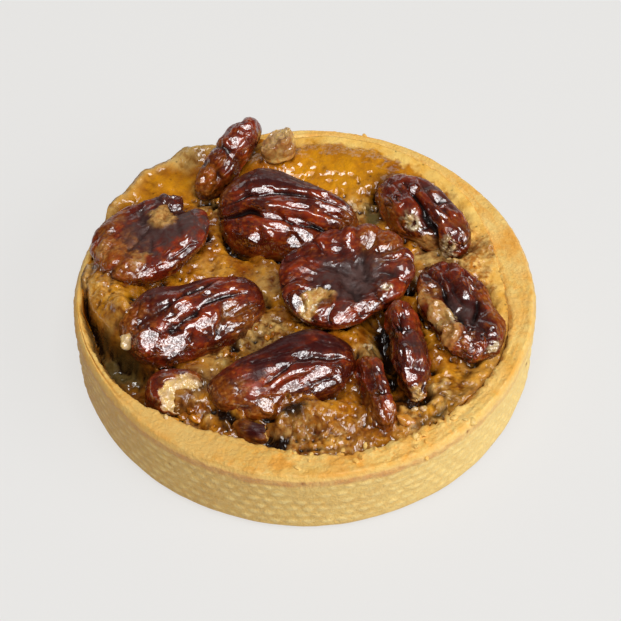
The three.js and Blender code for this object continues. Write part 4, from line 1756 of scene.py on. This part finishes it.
@dataclass
class Filling:
    """Baked caramel that fills the shell, creeps up the nuts and runs over the rim at the back left."""

    shell: Shell
    level: float = 15.2
    edge_level: float = 15.0
    edge_band: float = 12.0
    edge_depth: float = 0.9
    clearance: float = 0.3
    nut_reach: float = 4.0
    nut_margin: float = 3.0
    lumps: Noise = Noise(0.0, 6.0, 3)
    crags: Noise = Noise(9.0, 3.2, 5, 0.62)
    outlines: Noise = Noise(40.0, 3.0, 3, 0.6)
    ridges: Noise = Noise(170.0, 4.4, 4, 0.55)
    ripples: Noise = Noise(210.0, 1.5, 2)
    heaps: Noise = Noise(20.0, 4.0, 2)
    shores: Noise = Noise(0.0, 7.0)
    shore_lines: Noise = Noise(0.0, 2.4, 2)
    curds: Noise = Noise(33.0, 1.9, 2)
    foam: Noise = Noise(35.0, 1.0, 2)
    seam_gaps: Noise = Noise(11.0, 4.0)
    shadow_gaps: Noise = Noise(70.0, 5.0)
    dim_gaps: Noise = Noise(75.0, 4.0, 3)
    toast_spots: Noise = Noise(120.0, 5.5, 4, 0.6)
    wet_spots: Noise = Noise(0.0, 2.5, 2)
    lump_height: float = 0.55
    ridge_height: float = 0.3
    ripple_height: float = 0.07
    bubble_height: float = 0.2
    crumb_height: float = 0.45
    bit_height: float = 0.3
    dust_height: float = 0.1
    froth_height: float = 0.3
    foam_height: float = 0.22
    pit_depth: float = 0.5
    creep_height: float = 0.56
    gap_depth: float = 2.4
    dent_depth: float = 0.9
    seam_depth: float = 0.9
    droop: float = 0.7
    moat_depth: float = 6.0
    moat_wide: Swell = Swell(212, 18, 8.0)
    moat_deep: Swell = Swell(206, 27, 1.0)
    lips: tuple[Swell, ...] = rows(Swell, (138, 24, 1.0), (176, 10, 0.5))
    lip_corners: tuple[Swell, ...] = rows(Swell, (138, 5, 1.5), (123, 4, 1.3), (150, 4, 0.9))
    joins: tuple[Swell, ...] = rows(Swell, (20, 42, 1.0), (75, 30, 1.0))
    seams: tuple[Swell, ...] = rows(Swell, (262, 15, 1.0), (308, 14, 0.55))
    calm: tuple[Mound, ...] = rows(Mound, (9, 35, 1, 15, 8, -12), (-27, 29, 1, 10, 6, 42))
    ring_gap: Mound = Mound(36, 10.5, 1.3, 4.6, 2.8, 100)
    lip_thickness: float = 1.5
    cells: int = 296
    mounds: tuple[Mound, ...] = rows(
        Mound, (9, 35, 3, 15, 7.5, -12), (-29, 29, 2.6, 9, 6, 42), (-37, 1, 3.2, 7, 5.5, 80),
        (-1, -31, 1.5, 10, 3.6, 4), (27, -27, 0.9, 9, 4, 40), (34, 10, 1.3, 9, 5, 100),
        (-41, -1, 1.8, 8, 3, 80), (15.5, -9, -3.6, 6, 3, -60), (16.4, -17, -5, 9, 2.2, -80),
        (20.5, 2, -3, 3, 2.5, 0), (-10, -26.5, 3.4, 6, 3.4, 20), (1, -29.6, 2.2, 9, 2.6, 12),
        (-36, -6.5, 3.2, 4, 5, 15), (-17.5, 21, 2.4, 5, 3.6, 70), (29, 8, 1.6, 6, 3, 100),
        (24.5, -13, 1.5, 7, 2.6, -75), (-18, -9, 1.4, 5, 2.6, 20), (-25.5, 36, 1.8, 3.4, 2.4, 70),
        (-34.6, -7.6, 3.4, 3.2, 2.8, 0), (-7.4, 34, 2.6, 5, 3.4, 0), (-6, -36.6, -1.6, 4.5, 1.5, 8),
        (-11, -35.6, -1, 3, 1.6, -10),
    )
    stains: tuple[Stain, ...] = grouped(
        Stain, Tone,
        gold=(
            (6, 35, 17), (-30, 27, 11, 0.7), (-39, 14, 9, 0.6), (-17, 6, 5, 0.4), (36, -4, 6, 0.7),
            (25, -26, 8, 0.9), (-38, -3, 8, 1.2), (36, 8, 6, 0.9), (-10, -12, 6), (31, -18, 6, 0.9),
            (22, -31, 6, 0.9), (3, -35, 9, 0.7),
        ),
        toast=(
            (-36, -9, 5, 0.3), (-1, -34, 9, 0.9), (36, 10, 3.6, 0.7), (-12, -33, 6, 0.8), (9, -34, 6, 0.9),
            (-18, 19, 5, 0.9), (-30, 22, 4, 0.5), (-12, 7, 4, 0.5), (-40, 4, 5, 0.25), (22, -31, 4, 0.6),
        ),
        cream=(
            (-9, -11, 6), (-20, -22, 5, 0.6), (-17, -17, 3, 0.5), (-17, 22, 3.5, 0.7), (-8, 2.4, 5, 0.6),
            (-18, 6, 4, 0.35), (10, 22, 4, 0.6), (-25, 35, 4, 0.8), (-21, 27, 3, 0.5), (27, 9, 6),
            (33, 12, 5, 0.7), (12, -14.5, 3.5, 0.6),
        ),
        # Near-black stains: mostly painted shade in the gaps beside and between the nuts, and a dark nut bit.
        burnt=(
            (-5, -36.8, 2.4), (-8.4, -36.6, 2, 0.9), (15, -8.5, 3.6), (-14.7, -30.4, 2), (15.8, -14, 2.8),
            (16.6, -19, 2.6), (17.4, -25, 2.4), (20.6, 1.8, 2.2), (-19.7, 14, 1.8),
            (-2.2, -30.4, 2.6, 0.95), (-13.2, -13, 1.5, 0.6), (-9, -11.4, 1.3, 0.6), (35.6, 6.6, 1, 0.8),
        ),
        olive=((14, 20.5, 3.2, 0.95), (-37, -16, 6.5, 0.9)),
        crumb=(
            (37, 8, 8, 0.95), (33, 14, 6, 0.8), (20, -33, 5, 0.5), (32, -20, 5, 0.2), (-1, -36, 8, 0.6),
            (7, -36, 6, 0.5), (-40, -2, 6, 0.5), (-37, -9, 5, 0.3), (38, 3, 5, 0.9), (37, 15, 5, 0.9),
            (33, 23, 4, 0.8), (37, -9, 4, 0.8), (-24, -30, 4, 0.5), (11.5, -15.5, 4, 0.5),
        ),
    )
    rubble: tuple[Mound, ...] = rows(
        Mound, (29, 10, 1, 7, 4, 110), (26, -26, 1, 9, 6, 40), (12.5, -15, 0.8, 5, 3.5, 60),
        (-13, -14.5, 1.2, 7, 3.6, 20), (-4, -9, 0.8, 6, 3, 20), (-22, -31, 1.2, 6, 5, -30),
        (-1, -34, 0.7, 9, 3.5, 4), (-18, 22, 0.9, 6, 4, 60), (10, 22, 0.8, 4.5, 3.5, 0),
    )
    froth: tuple[Mound, ...] = rows(
        Mound, (15, 33.6, 1, 6, 4, -20), (4, 30, 0.5, 12, 3, -12), (0, -34, 0.5, 10, 4),
        (-37, -3, 1, 8, 4, 80),
    )
    grain: Grain = field(default_factory=lambda: Grain(23))

    def top(self, x: Array, y: Array) -> Array:
        """Return the height of the smooth filling.

        Args:
            x: Places along X.
            y: Places along Y.

        Returns:
            One height for each place.
        """
        radius, angle = np.hypot(x, y), np.arctan2(y, x)
        to_wall = self.shell.inner_radius(angle, self.edge_level) - radius
        level = lerp(self.edge_level, self.level, smoothstep(to_wall, 0, self.edge_band))
        moat = self.moat_depth * self.moat(angle, to_wall)
        return level - moat + self.raised(self.mounds, x, y)

    @staticmethod
    def raised(mounds: tuple[Mound, ...], x: Array, y: Array) -> Array:
        """Return the sum of the heights of mounds at each place."""
        return sum(mound.height * mound.at(x, y) for mound in mounds)

    def moat(self, angle: Array, to_wall: Array) -> Array:
        """Return how far the filling has sunk along the wall at the left, from 0 to 1.

        Args:
            angle: Angles round the tartlet.
            to_wall: Distances to the wall.

        Returns:
            One value for each place.
        """
        width = self.moat_wide.at(angle)
        return self.moat_deep.at(angle) * (1 - smoothstep(to_wall, 0.8 * width - 0.6, width + 0.8))

    def edge(self, angle: Array) -> dict[str, Array]:
        """Return the outer edge of the filling.

        Args:
            angle: Angles round the tartlet.

        Returns:
            Its outer radius, its height there, and the radius and height where it leaves the wall.
        """
        lip = np.maximum(*(swell.at(angle) for swell in self.lips))
        rim = self.shell.rim_top(angle)
        inner = self.shell.inner_radius(angle, self.edge_level)
        edge = np.minimum(self.top(inner * np.cos(angle), inner * np.sin(angle)), rim + 0.4)
        under = np.minimum(edge, self.edge_level) - self.edge_depth
        under = lerp(under, rim + self.clearance, smoothstep(lip, 0.05, 0.12))
        side = self.shell.inner_radius(angle, np.minimum(under, rim)) - self.clearance
        merged = clamped(swelling(angle, self.joins))
        ledge = rim - self.shell.ledge_fall * np.maximum(0, self.shell.width(angle) - self.shell.rim_width)
        edge = lerp(edge, ledge + 0.12, merged * (1 - smoothstep(lip, 0.05, 0.2)))
        outer = side + (self.shell.width(angle) + self.clearance) * smoothstep(lip, 0.2, 0.8)
        outer = outer + 0.9 * merged + swelling(angle, self.lip_corners) - 0.5 * lip
        top = lerp(edge, rim + self.clearance + self.lip_thickness, smoothstep(lip, 0.05, 0.6))
        return {"outer": outer, "top": top, "side": side, "under": under, "lip": lip, "merged": merged}

    def grid(self) -> tuple[Array, Array]:
        """Bend a square grid into a disc.

        Returns:
            The angle of each point of the grid, and its distance from the middle as a share of the radius.
        """
        line = np.linspace(-1, 1, self.cells + 1)
        a, b = np.meshgrid(line, line, indexing="ij")
        wide = np.abs(a) > np.abs(b)
        share = np.where(wide, np.abs(a), np.abs(b))
        ratio = np.divide(np.where(wide, b, a), np.where(wide, a, b), out=np.zeros_like(a), where=share > 0)
        quarter = math.pi / 4
        angle = np.where(wide, ratio * quarter, 2 * quarter - ratio * quarter)
        angle = angle + np.where(np.where(wide, a, b) < 0, math.pi, 0)
        return angle, share

    def build(self, finish: bpy.types.Material, nuts: list[bpy.types.Object]) -> bpy.types.Object:
        """Make the filling.

        Args:
            finish: Its material.
            nuts: The pecans that lie in it.

        Returns:
            The piece.
        """
        angle, share = self.grid()
        edge = self.edge(angle)
        ground = self.poured(angle, share, edge, nuts)
        piece = self.skin(np.stack([ground.x, ground.y, ground.z], -1), edge).piece("caramel_filling")
        for name, values in self.coloured(ground, edge).items():
            layer = np.zeros(len(piece.data.vertices))
            layer[: values.size] = values.ravel()
            paint(piece, name, layer)
        piece.data.materials.append(finish)
        return settle(piece, "filling", "filling")

    def poured(
        self, angle: Array, share: Array, edge: dict[str, Array], nuts: list[bpy.types.Object]
    ) -> Ground:
        """Raise the top of the filling with all that lies in it.

        Args:
            angle: Angle of each point of the grid.
            share: Its distance from the middle, as a share of the radius.
            edge: The outer edge there.
            nuts: The pecans that lie in it.

        Returns:
            What the filling is like at each point.
        """
        radius = share * edge["outer"]
        to_wall = self.shell.inner_radius(angle, self.edge_level) - radius
        x, y = radius * np.cos(angle), radius * np.sin(angle)
        z = self.top(x, y)
        z = lerp(z, edge["top"], smoothstep(share, 0.9 + 0.075 * around(angle, 192, 26), 0.985))
        flat = np.stack([x, y, 0 * z + 3.0], -1)
        near, over = self.nuts_at(nuts, np.stack([x, y, z], -1))
        lumps = self.lumps.of(self.grain, flat)
        crags = self.crags.of(self.grain, flat)
        smooth = clamped(self.raised(self.calm, x, y))
        ragged = 0.4 * self.outlines.of(self.grain, flat)
        start = 0.91 + 0.02 * around(angle, 88, 26)
        ring = edge["merged"] * smoothstep(share + 0.1 * ragged, start, start + 0.04) * (1 - edge["lip"])
        ring = ring * (1 - 0.85 * clamped(self.raised((self.ring_gap,), x, y)))
        rough = (1 - 0.85 * smooth) * (1 - 0.75 * ring)
        ridged = 1 - 2 * np.abs(self.ridges.of(self.grain, flat))
        ripple = self.ripples.of(self.grain, flat)
        rubble = clamped(self.raised(self.rubble, x, y))
        rubble = smoothstep(rubble + 0.3 * self.heaps.of(self.grain, flat), 0.25, 0.7)
        tossed = flat + 0.5 * np.stack([crags, lumps, 0 * crags], -1)
        crumb_far, crumb = self.grain.cells(tossed + 60.0, 2.1)
        crumbs = dome(crumb_far, 0.66) * (0.3 + 0.7 * crumb)
        bit_far, bit = self.grain.cells(tossed + 90.0, 1.15)
        bits = dome(bit_far, 0.66) * (0.3 + 0.7 * bit)
        crevice = rubble * clamped(smoothstep(crumb_far, 0.42, 0.7) + 0.7 * smoothstep(bit_far, 0.5, 0.75))
        froth = clamped(self.raised(self.froth, x, y))
        fine_far, fine = self.grain.cells(flat + 140.0, 0.95)
        fine_bits = dome(fine_far, 0.7) * (0.3 + 0.7 * fine)
        bubble_far, bubble = self.grain.cells(flat, 1.9)
        domes = dome(bubble_far, 0.42) * (bubble > 0.7)
        pits = bell(bubble_far, 0.24) * (bubble < 0.22)
        shore = self.shores.of(self.grain, flat) + 0.45 * self.shore_lines.of(self.grain, flat) + 0.22
        creep = np.exp(-near / 0.9) * clamped(1.4 * shore)
        gap = np.exp(-((near / 1.5) ** 2)) * clamped(-2.2 * shore)
        z = z + self.lump_height * lumps * (0.35 + 0.65 * rough) + (0.3 + 0.2 * rubble) * crags * rough
        z = z + self.ridge_height * ridged * rough + self.ripple_height * ripple * (0.4 + 0.6 * rough)
        z = z + self.bubble_height * domes * rough * (1 - rubble)
        z = z + rubble * (self.crumb_height * crumbs + self.bit_height * (bits - 1))
        z = z + self.froth_height * froth * self.curds.of(self.grain, flat)
        z = z + self.foam_height * froth * self.foam.of(self.grain, flat) * rough
        z = z - self.pit_depth * pits * rough + self.creep_height * creep - self.gap_depth * gap
        film = 0.15 + 0.25 * np.maximum(0, crags)
        z = z - self.dent_depth * bell(near, 0.9) * clamped(0.6 - shore)
        lift, most = over + film - z, np.clip(2.4 * shore, 0.01, 2.2)
        z = z + np.clip(lift, 0, most) * (1 - smoothstep(lift, most, most + 1.2))
        z = lerp(z, blurred(z, 2), np.exp(-near / 1.5))
        z = z - self.droop * bell(share - 1, 0.0175) * (1 - edge["merged"])
        seam = bell(share - 0.972, 0.012) * clamped(swelling(angle, self.seams))
        seam = seam * smoothstep(self.seam_gaps.of(self.grain, flat), -0.5, 0.2)
        z = z - self.seam_depth * seam
        crumbly = sum(stain.at(x, y) for stain in self.stains if stain.tone is Tone.CRUMB)
        z = z + self.dust_height * fine_bits * crumbly * (1 - ring)
        return Ground(
            angle, share, to_wall, x, y, z, flat, near, ragged, ring, rough, rubble, crumb, crevice, froth,
            pits, gap, seam,
        )

    def coloured(self, at: Ground, edge: dict[str, Array]) -> dict[str, Array]:
        """Find the masks of the filling.

        Args:
            at: What the filling is like at each point.
            edge: The outer edge there.

        Returns:
            The masks by name, for the finish to read.
        """
        # Painted shade: cavity darkens the hollows of the top, shaded and dim darken the filling next to the
        # nuts.
        cavity = clamped((blurred(at.z, 8) - at.z) * 3.4)
        shaded = np.exp(-at.near / 1.1) * smoothstep(self.shadow_gaps.of(self.grain, at.flat), -0.9, 0.5)
        dim = np.exp(-at.near / 3.0) * smoothstep(self.dim_gaps.of(self.grain, at.flat), -0.5, 0.5)
        tones = {tone: np.zeros(at.z.shape) for tone in Tone}
        for stain in self.stains:
            tones[stain.tone] = np.maximum(tones[stain.tone], stain.ragged(at.x, at.y, at.ragged))
        wide = at.z - blurred(at.z, 40)
        peak = smoothstep(at.z - blurred(at.z, 10) + 0.3 * wide, 0.02, 0.35)
        # Painted shade in the broad valleys of the top.
        dip = smoothstep(-wide, 0.0, 0.7) * at.rough
        # Painted highlight: the peaks of the top are painted golden.
        tones[Tone.GOLD] = clamped(tones[Tone.GOLD] + 0.6 * peak * at.rough)
        # Cream: pale crumbs and the lip's pale edge, and painted highlight on the peaks.
        pale = at.rubble * (0.6 * smoothstep(at.crumb, 0.55, 0.75) + 0.25 * peak) + 0.1 * peak * at.rough
        outermost = smoothstep(at.share + 0.03 * at.ragged, 0.93, 0.98)
        pale = pale + 0.7 * smoothstep(edge["lip"], 0.2, 0.5) * outermost
        tones[Tone.CREAM] = clamped(tones[Tone.CREAM] + pale)
        # Random dark crumbs, and painted shade in the crevices between crumbs.
        brown = at.rubble * (0.5 * smoothstep(at.crumb, 0.35, 0.2) + 0.6 * at.crevice)
        patchy = smoothstep(self.toast_spots.of(self.grain, at.flat), 0.0, 0.45) * (0.3 + 0.7 * at.rough)
        # The sunken slope along the left wall is painted dark as shade.
        sunken = self.moat(at.angle, at.to_wall)
        # The toast tone: toasted stains and random patches, plus the painted shade above.
        toast = tones[Tone.TOAST] * (1 - 0.5 * peak) + 0.9 * smoothstep(sunken, 0.08, 0.35) + 0.55 * patchy
        toast = toast + brown + 0.7 * dip + 0.7 * cavity + 0.9 * shaded + 0.6 * dim
        tones[Tone.TOAST] = clamped(toast)
        # Near-black: stains, and painted shade in bubble pits, gaps beside nuts, hollows, the sunken moat,
        # crevices and the seam at the wall.
        burnt = tones[Tone.BURNT] + 0.4 * at.pits * at.rough + 0.8 * at.gap + cavity**2 + 0.65 * shaded**3
        burnt = burnt + 0.6 * smoothstep(sunken, 0.12, 0.5) * (1 - 0.5 * smoothstep(sunken, 0.7, 0.95))
        tones[Tone.BURNT] = clamped(burnt + 0.25 * at.crevice**2 + 0.9 * at.seam)
        wet = 0.8 + 0.35 * self.wet_spots.of(self.grain, at.flat) + 0.5 * at.froth
        wet = wet - 0.3 * at.rubble - 0.5 * tones[Tone.CRUMB] - 0.3 * tones[Tone.CREAM] - 0.6 * at.ring
        tones[Tone.DOUGH] = 0.95 * at.ring
        tones[Tone.OLIVE] *= 1 - at.ring
        tones[Tone.TOAST] *= 1 - 0.9 * at.ring
        tones[Tone.BURNT] *= 1 - np.maximum(at.ring, 0.75 * edge["merged"] * smoothstep(at.share, 0.74, 0.86))
        return {tone.value: tones[tone] for tone in Tone} | {"wet": np.clip(wet, 0.1, 1)}

    def nuts_at(self, nuts: list[bpy.types.Object], points: Array) -> tuple[Array, Array]:
        """Find the pecans around each point.

        Args:
            nuts: The pecans.
            points: Points of the filling's top.

        Returns:
            How far each point is from the nearest pecan, as far as it is felt, and the height of the pecan
            above or below it, or far down where there is none.
        """
        nearest = np.full(points.shape[:-1], self.nut_reach)
        height = np.full(points.shape[:-1], -FAR)
        for nut in nuts:
            placed = nut.matrix_world
            inverse = placed.inverted()
            down = inverse.to_3x3() @ DOWN
            corners = [vertex.co[:] for vertex in nut.data.vertices]
            tree = BVHTree.FromPolygons(corners, [face.vertices[:] for face in nut.data.polygons])
            low, high = (np.array(corner[:2]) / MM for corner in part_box(nut["stands_for"]))
            inside = (points[..., :2] > low - self.nut_margin) & (points[..., :2] < high + self.nut_margin)
            for place in zip(*np.nonzero(inside.all(-1))):
                point = Vector(points[place] * MM)
                gap = tree.find_nearest(inverse @ point, self.nut_reach * MM)[3]
                if gap is not None:
                    nearest[place] = min(nearest[place], gap / MM)
                hit = tree.ray_cast(inverse @ (Vector((point.x, point.y, 0)) + LOOKOUT), down)[0]
                if hit is not None:
                    height[place] = max(height[place], (placed @ hit).z / MM)
        return nearest, height

    def skin(self, points: Array, edge: dict[str, Array]) -> Draft:
        """Close the top of the filling with its side and its underside.

        Args:
            points: The grid of the top.
            edge: The outer edge at each place of the grid.

        Returns:
            The closed skin.
        """
        n = self.cells + 1
        index = np.arange(n * n).reshape(n, n)
        quads = np.stack([index[:-1, :-1], index[1:, :-1], index[1:, 1:], index[:-1, 1:]], -1).reshape(-1, 4)
        border = np.concatenate([index[:-1, 0], index[-1, :-1], index[:0:-1, -1], index[0, :0:-1]])
        rim = points.reshape(-1, 3)[border]
        angle = np.arctan2(rim[:, 1], rim[:, 0])
        values = {name: value.reshape(-1)[border] for name, value in edge.items()}
        floor = self.shell.floor + self.clearance
        foot = self.shell.inner_radius(angle, floor) - self.clearance
        loops = [
            (values["outer"], (values["under"] + rim[:, 2]) / 2),
            (values["outer"] - 0.05, values["under"] + 0.02),
            (values["side"], values["under"]),
            (foot, 0 * foot + floor),
        ]
        belts = [np.stack([r * np.cos(angle), r * np.sin(angle), h], -1) for r, h in loops]
        count = len(border)
        starts = [border] + [n * n + belt * count + np.arange(count) for belt in range(len(belts))]
        sides = []
        for upper, lower in zip(starts[:-1], starts[1:]):
            sides.append(np.stack([lower, np.roll(lower, -1), np.roll(upper, -1), upper], -1))
        middle = n * n + len(belts) * count
        fan = [(middle, int(b), int(a)) for a, b in zip(starts[-1], np.roll(starts[-1], -1))]
        faces = [*map(tuple, quads.tolist()), *map(tuple, np.concatenate(sides).tolist()), *fan]
        return Draft(np.concatenate([points.reshape(-1, 3), *belts, [[0, 0, floor]]]), faces)


# ---- Crumbs ------------------------------------------------------------------------------------------


class Crumb(Enum):
    """What a crumb is: the name of its piece and the slot of its finish."""

    KERNEL = ("kernel_crumbs", "pale_kernel")
    CARAMEL = ("caramel_crumbs", "filling")
    PASTRY = ("pastry_crumbs", "crust")


@dataclass(frozen=True)
class Cluster:
    """Crumbs that lie close together: their kind, middle and spread, how many they are and how large."""

    crumb: Crumb
    x: float
    y: float
    reach: float
    count: int
    size: float
    squat: float = 0.5


@dataclass
class Crumbs:
    """Loose crumbs that lie on the nuts, the filling and the rim, joined into one piece of each kind."""

    clusters: tuple[Cluster, ...] = grouped(
        Cluster, Crumb,
        kernel=(
            (29.4, 9, 1.8, 2, 2.4, 0.35), (-33.7, -14, 0.1, 1, 3.6, 0.9), (-25.6, -30.6, 1.2, 3, 1.8),
            (21.4, -28.4, 1.4, 3, 1.5), (12.6, -13.6, 1.8, 3, 1.5), (11.4, 22, 1.6, 3, 1.6),
        ),
        caramel=(
            (-13.4, -14.2, 3.6, 5, 2), (-7.6, -11, 2.8, 4, 1.8), (-20, 22, 2.6, 3, 2.2),
            (-22.6, -30, 2.4, 4, 2.6), (18.5, -31.2, 0.2, 1, 4.2),
        ),
        pastry=(
            (22, -37.8, 3.4, 7, 1.7), (9, -38.4, 4, 6, 1.4), (29.4, -32.6, 2.6, 4, 1.6),
            (-2, -39, 4, 4, 1.2), (12, 43, 0.8, 2, 2),
        ),
    )
    sunk: float = 0.3
    lowest: float = 12.0

    PLACE_SEED = 900
    SKIN_SEED = 77

    def build(
        self, crumb: Crumb, finish: bpy.types.Material, beneath: list[bpy.types.Object]
    ) -> bpy.types.Object:
        """Scatter the crumbs of one kind.

        Args:
            crumb: The kind.
            finish: Their material.
            beneath: The pieces that they may lie on.

        Returns:
            The piece.
        """
        name, slot = crumb.value
        draws = np.random.default_rng(self.PLACE_SEED + len(name))
        grain = Grain(self.SKIN_SEED)
        ball = bmesh.new()
        bmesh.ops.create_icosphere(ball, subdivisions=3, radius=1.0)
        skin = np.array([vertex.co[:] for vertex in ball.verts])
        faces = [tuple(vertex.index for vertex in face.verts) for face in ball.faces]
        ball.free()
        draft, tone = Draft(np.empty((0, 3)), []), []
        for cluster in (cluster for cluster in self.clusters if cluster.crumb is crumb):
            for _ in range(cluster.count):
                bearing, away = draws.uniform(0, TURN), cluster.reach * math.sqrt(draws.random())
                size = cluster.size * draws.uniform(0.6, 1.15) / 2
                x, y = cluster.x + away * math.cos(bearing), cluster.y + away * math.sin(bearing)
                ground = self.ground(beneath, x, y)
                tilt = draws.uniform(-0.6, 0.6, 3) + (0, 0, draws.uniform(0, TURN))
                turned = np.array(Euler(tilt).to_matrix())
                stretch = draws.uniform((0.9, 0.6, 0.8), (1.4, 1.0, 1.2)) * (1, 1, cluster.squat)
                shift = draws.uniform(0, 90, 3)
                if ground < self.lowest:
                    continue
                facets = grain.cells(skin * 1.1 + shift, 1.0)[0]
                bumps = 1.05 - 0.3 * facets + 0.2 * grain.layers(skin + shift, 0.9, 3)
                shape = (skin * bumps[:, None] * stretch * size) @ turned.T
                middle = np.array([x, y, ground + size * (0.5 - self.sunk)])
                draft = draft.joined(Draft(shape + middle, faces))
                tone.append(np.full(len(skin), draws.random()))
        piece = draft.piece(name)
        self.dress(piece, crumb, np.concatenate(tone))
        piece.data.materials.append(finish)
        return settle(piece, slot)

    @staticmethod
    def ground(beneath: list[bpy.types.Object], x: float, y: float) -> float:
        """Look down on a place.

        Args:
            beneath: The pieces that may lie there.
            x: The place along X.
            y: The place along Y.

        Returns:
            The height of the highest piece.
        """
        top = 0.0
        for piece in beneath:
            inverse = piece.matrix_world.inverted()
            start = inverse @ (Vector((x * MM, y * MM, 0)) + LOOKOUT)
            hit, spot, _, _ = piece.ray_cast(start, inverse.to_3x3() @ DOWN)
            if hit:
                top = max(top, (piece.matrix_world @ spot).z / MM)
        return top

    @staticmethod
    def dress(piece: bpy.types.Object, crumb: Crumb, tones: Array) -> None:
        """Store the masks that the crumbs' finish reads.

        Args:
            piece: The crumbs.
            crumb: Their kind.
            tones: A number from 0 to 1 for each point, the same all over a crumb.
        """
        if crumb is Crumb.KERNEL:
            masks = {"bare": 0.8 + 0.2 * tones, "frost": 0.2 + 0.6 * tones, "wet": 0.6 + 0.4 * tones}
        elif crumb is Crumb.CARAMEL:
            masks = {"crumb": 0.3 * smoothstep(tones, 0.6, 0.9), "toast": 0.7 * smoothstep(tones, 0.7, 0.1)}
            masks["wet"] = np.ones(tones.shape)
        else:
            masks = {"ledge": np.ones(tones.shape), "toast": 0.6 * tones, "gloss": np.full(tones.shape, 0.4)}
        for name, values in masks.items():
            paint(piece, name, values)


# ---- Stage -------------------------------------------------------------------------------------------


@dataclass(frozen=True)
class Softbox:
    """A square lamp that faces the tartlet: its bearing and elevation in degrees, in metres and watts."""

    name: str
    bearing: float
    elevation: float
    distance: float
    size: tuple[float, float]
    power: float
    colour: tuple[float, float, float] = (1.0, 1.0, 1.0)

    def build(self) -> bpy.types.Object:
        """Hang the lamp.

        Returns:
            The lamp.
        """
        lamp = bpy.data.lights.new(self.name, "AREA")
        lamp.shape = "RECTANGLE"
        lamp.size, lamp.size_y = self.size
        lamp.energy = self.power
        lamp.color = self.colour
        held = bpy.data.objects.new(self.name, lamp)
        bearing, elevation = math.radians(self.bearing), math.radians(self.elevation)
        flat = math.cos(elevation)
        way = Vector((flat * math.cos(bearing), flat * math.sin(bearing), math.sin(elevation)))
        held.location = way * self.distance
        held.rotation_euler = way.to_track_quat("Z", "Y").to_euler()
        bpy.context.scene.collection.objects.link(held)
        return held


@dataclass
class Studio:
    """Pale table, even surroundings, lamps and camera."""

    floor_size: float = 6.0
    surroundings: float = 0.055
    air: Colour = tint(236, 236, 240)
    lamps: tuple[Softbox, ...] = (
        Softbox("lamp_over", 275, 74, 1.1, (0.76, 0.6), 8.6),
        Softbox("lamp_right", 332, 30, 1.3, (1.0, 0.74), 11.0),
        Softbox("lamp_back", 95, 21, 1.6, (1.8, 0.7), 2.4),
    )
    camera_place: Point = (1.0665, -223.668, 275.250)
    camera_target: Point = (1.0665, 8.361, 0.0)
    lens: float = 101.4
    sensor: float = 36.0
    sight: tuple[float, float] = (0.01, 20.0)

    def build(self, finish: bpy.types.Material) -> None:
        """Set the table, hang the lamps and place the camera.

        Args:
            finish: Material of the table.
        """
        scene = bpy.context.scene
        scene.view_settings.view_transform = "Standard"
        half = self.floor_size / 2
        mesh = bpy.data.meshes.new("table")
        corners = [(-half, -half, 0), (half, -half, 0), (half, half, 0), (-half, half, 0)]
        mesh.from_pydata(corners, [], [(0, 1, 2, 3)])
        table = bpy.data.objects.new("table", mesh)
        table.data.materials.append(finish)
        scene.collection.objects.link(table)
        world = bpy.data.worlds.new("surroundings")
        world.use_nodes = True
        background = world.node_tree.nodes["Background"].inputs
        background["Color"].default_value, background["Strength"].default_value = self.air, self.surroundings
        scene.world = world
        for lamp in self.lamps:
            lamp.build()
        scene.camera = self.camera()

    def camera(self) -> bpy.types.Object:
        """Place the camera.

        Returns:
            The camera.
        """
        view = bpy.data.cameras.new("camera")
        view.lens, view.sensor_width = self.lens, self.sensor
        view.clip_start, view.clip_end = self.sight
        held = bpy.data.objects.new("camera", view)
        held.location = Vector(self.camera_place) * MM
        way = Vector(self.camera_target) * MM - held.location
        held.rotation_euler = way.to_track_quat("-Z", "Y").to_euler()
        bpy.context.scene.collection.objects.link(held)
        return held


# ---- Making ------------------------------------------------------------------------------------------


def main() -> None:
    """Build the tartlet and its stage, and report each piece."""
    logging.basicConfig(level=logging.INFO, format="%(message)s")
    effects = Effects()
    pastry, caramel, glaze = (kind().make(effects) for kind in (PastryFinish, CaramelFinish, PecanFinish))
    Studio().build(FloorFinish().make(effects))
    shell = Shell()
    pieces = [shell.build(pastry)]
    nuts = []
    for pecan in PECANS:
        nuts.append(pecan.build(glaze))
        nuts[-1]["stands_for"] = pecan.node
    pieces += nuts
    pieces.append(Filling(shell).build(caramel, nuts))
    bpy.context.view_layer.update()
    finishes = {Crumb.KERNEL: glaze, Crumb.CARAMEL: caramel, Crumb.PASTRY: pastry}
    pieces += [Crumbs().build(crumb, finish, list(pieces)) for crumb, finish in finishes.items()]
    for piece in pieces:
        log.info("%s: %d faces", piece.name, len(piece.data.polygons))


if __name__ == "__main__":
    main()
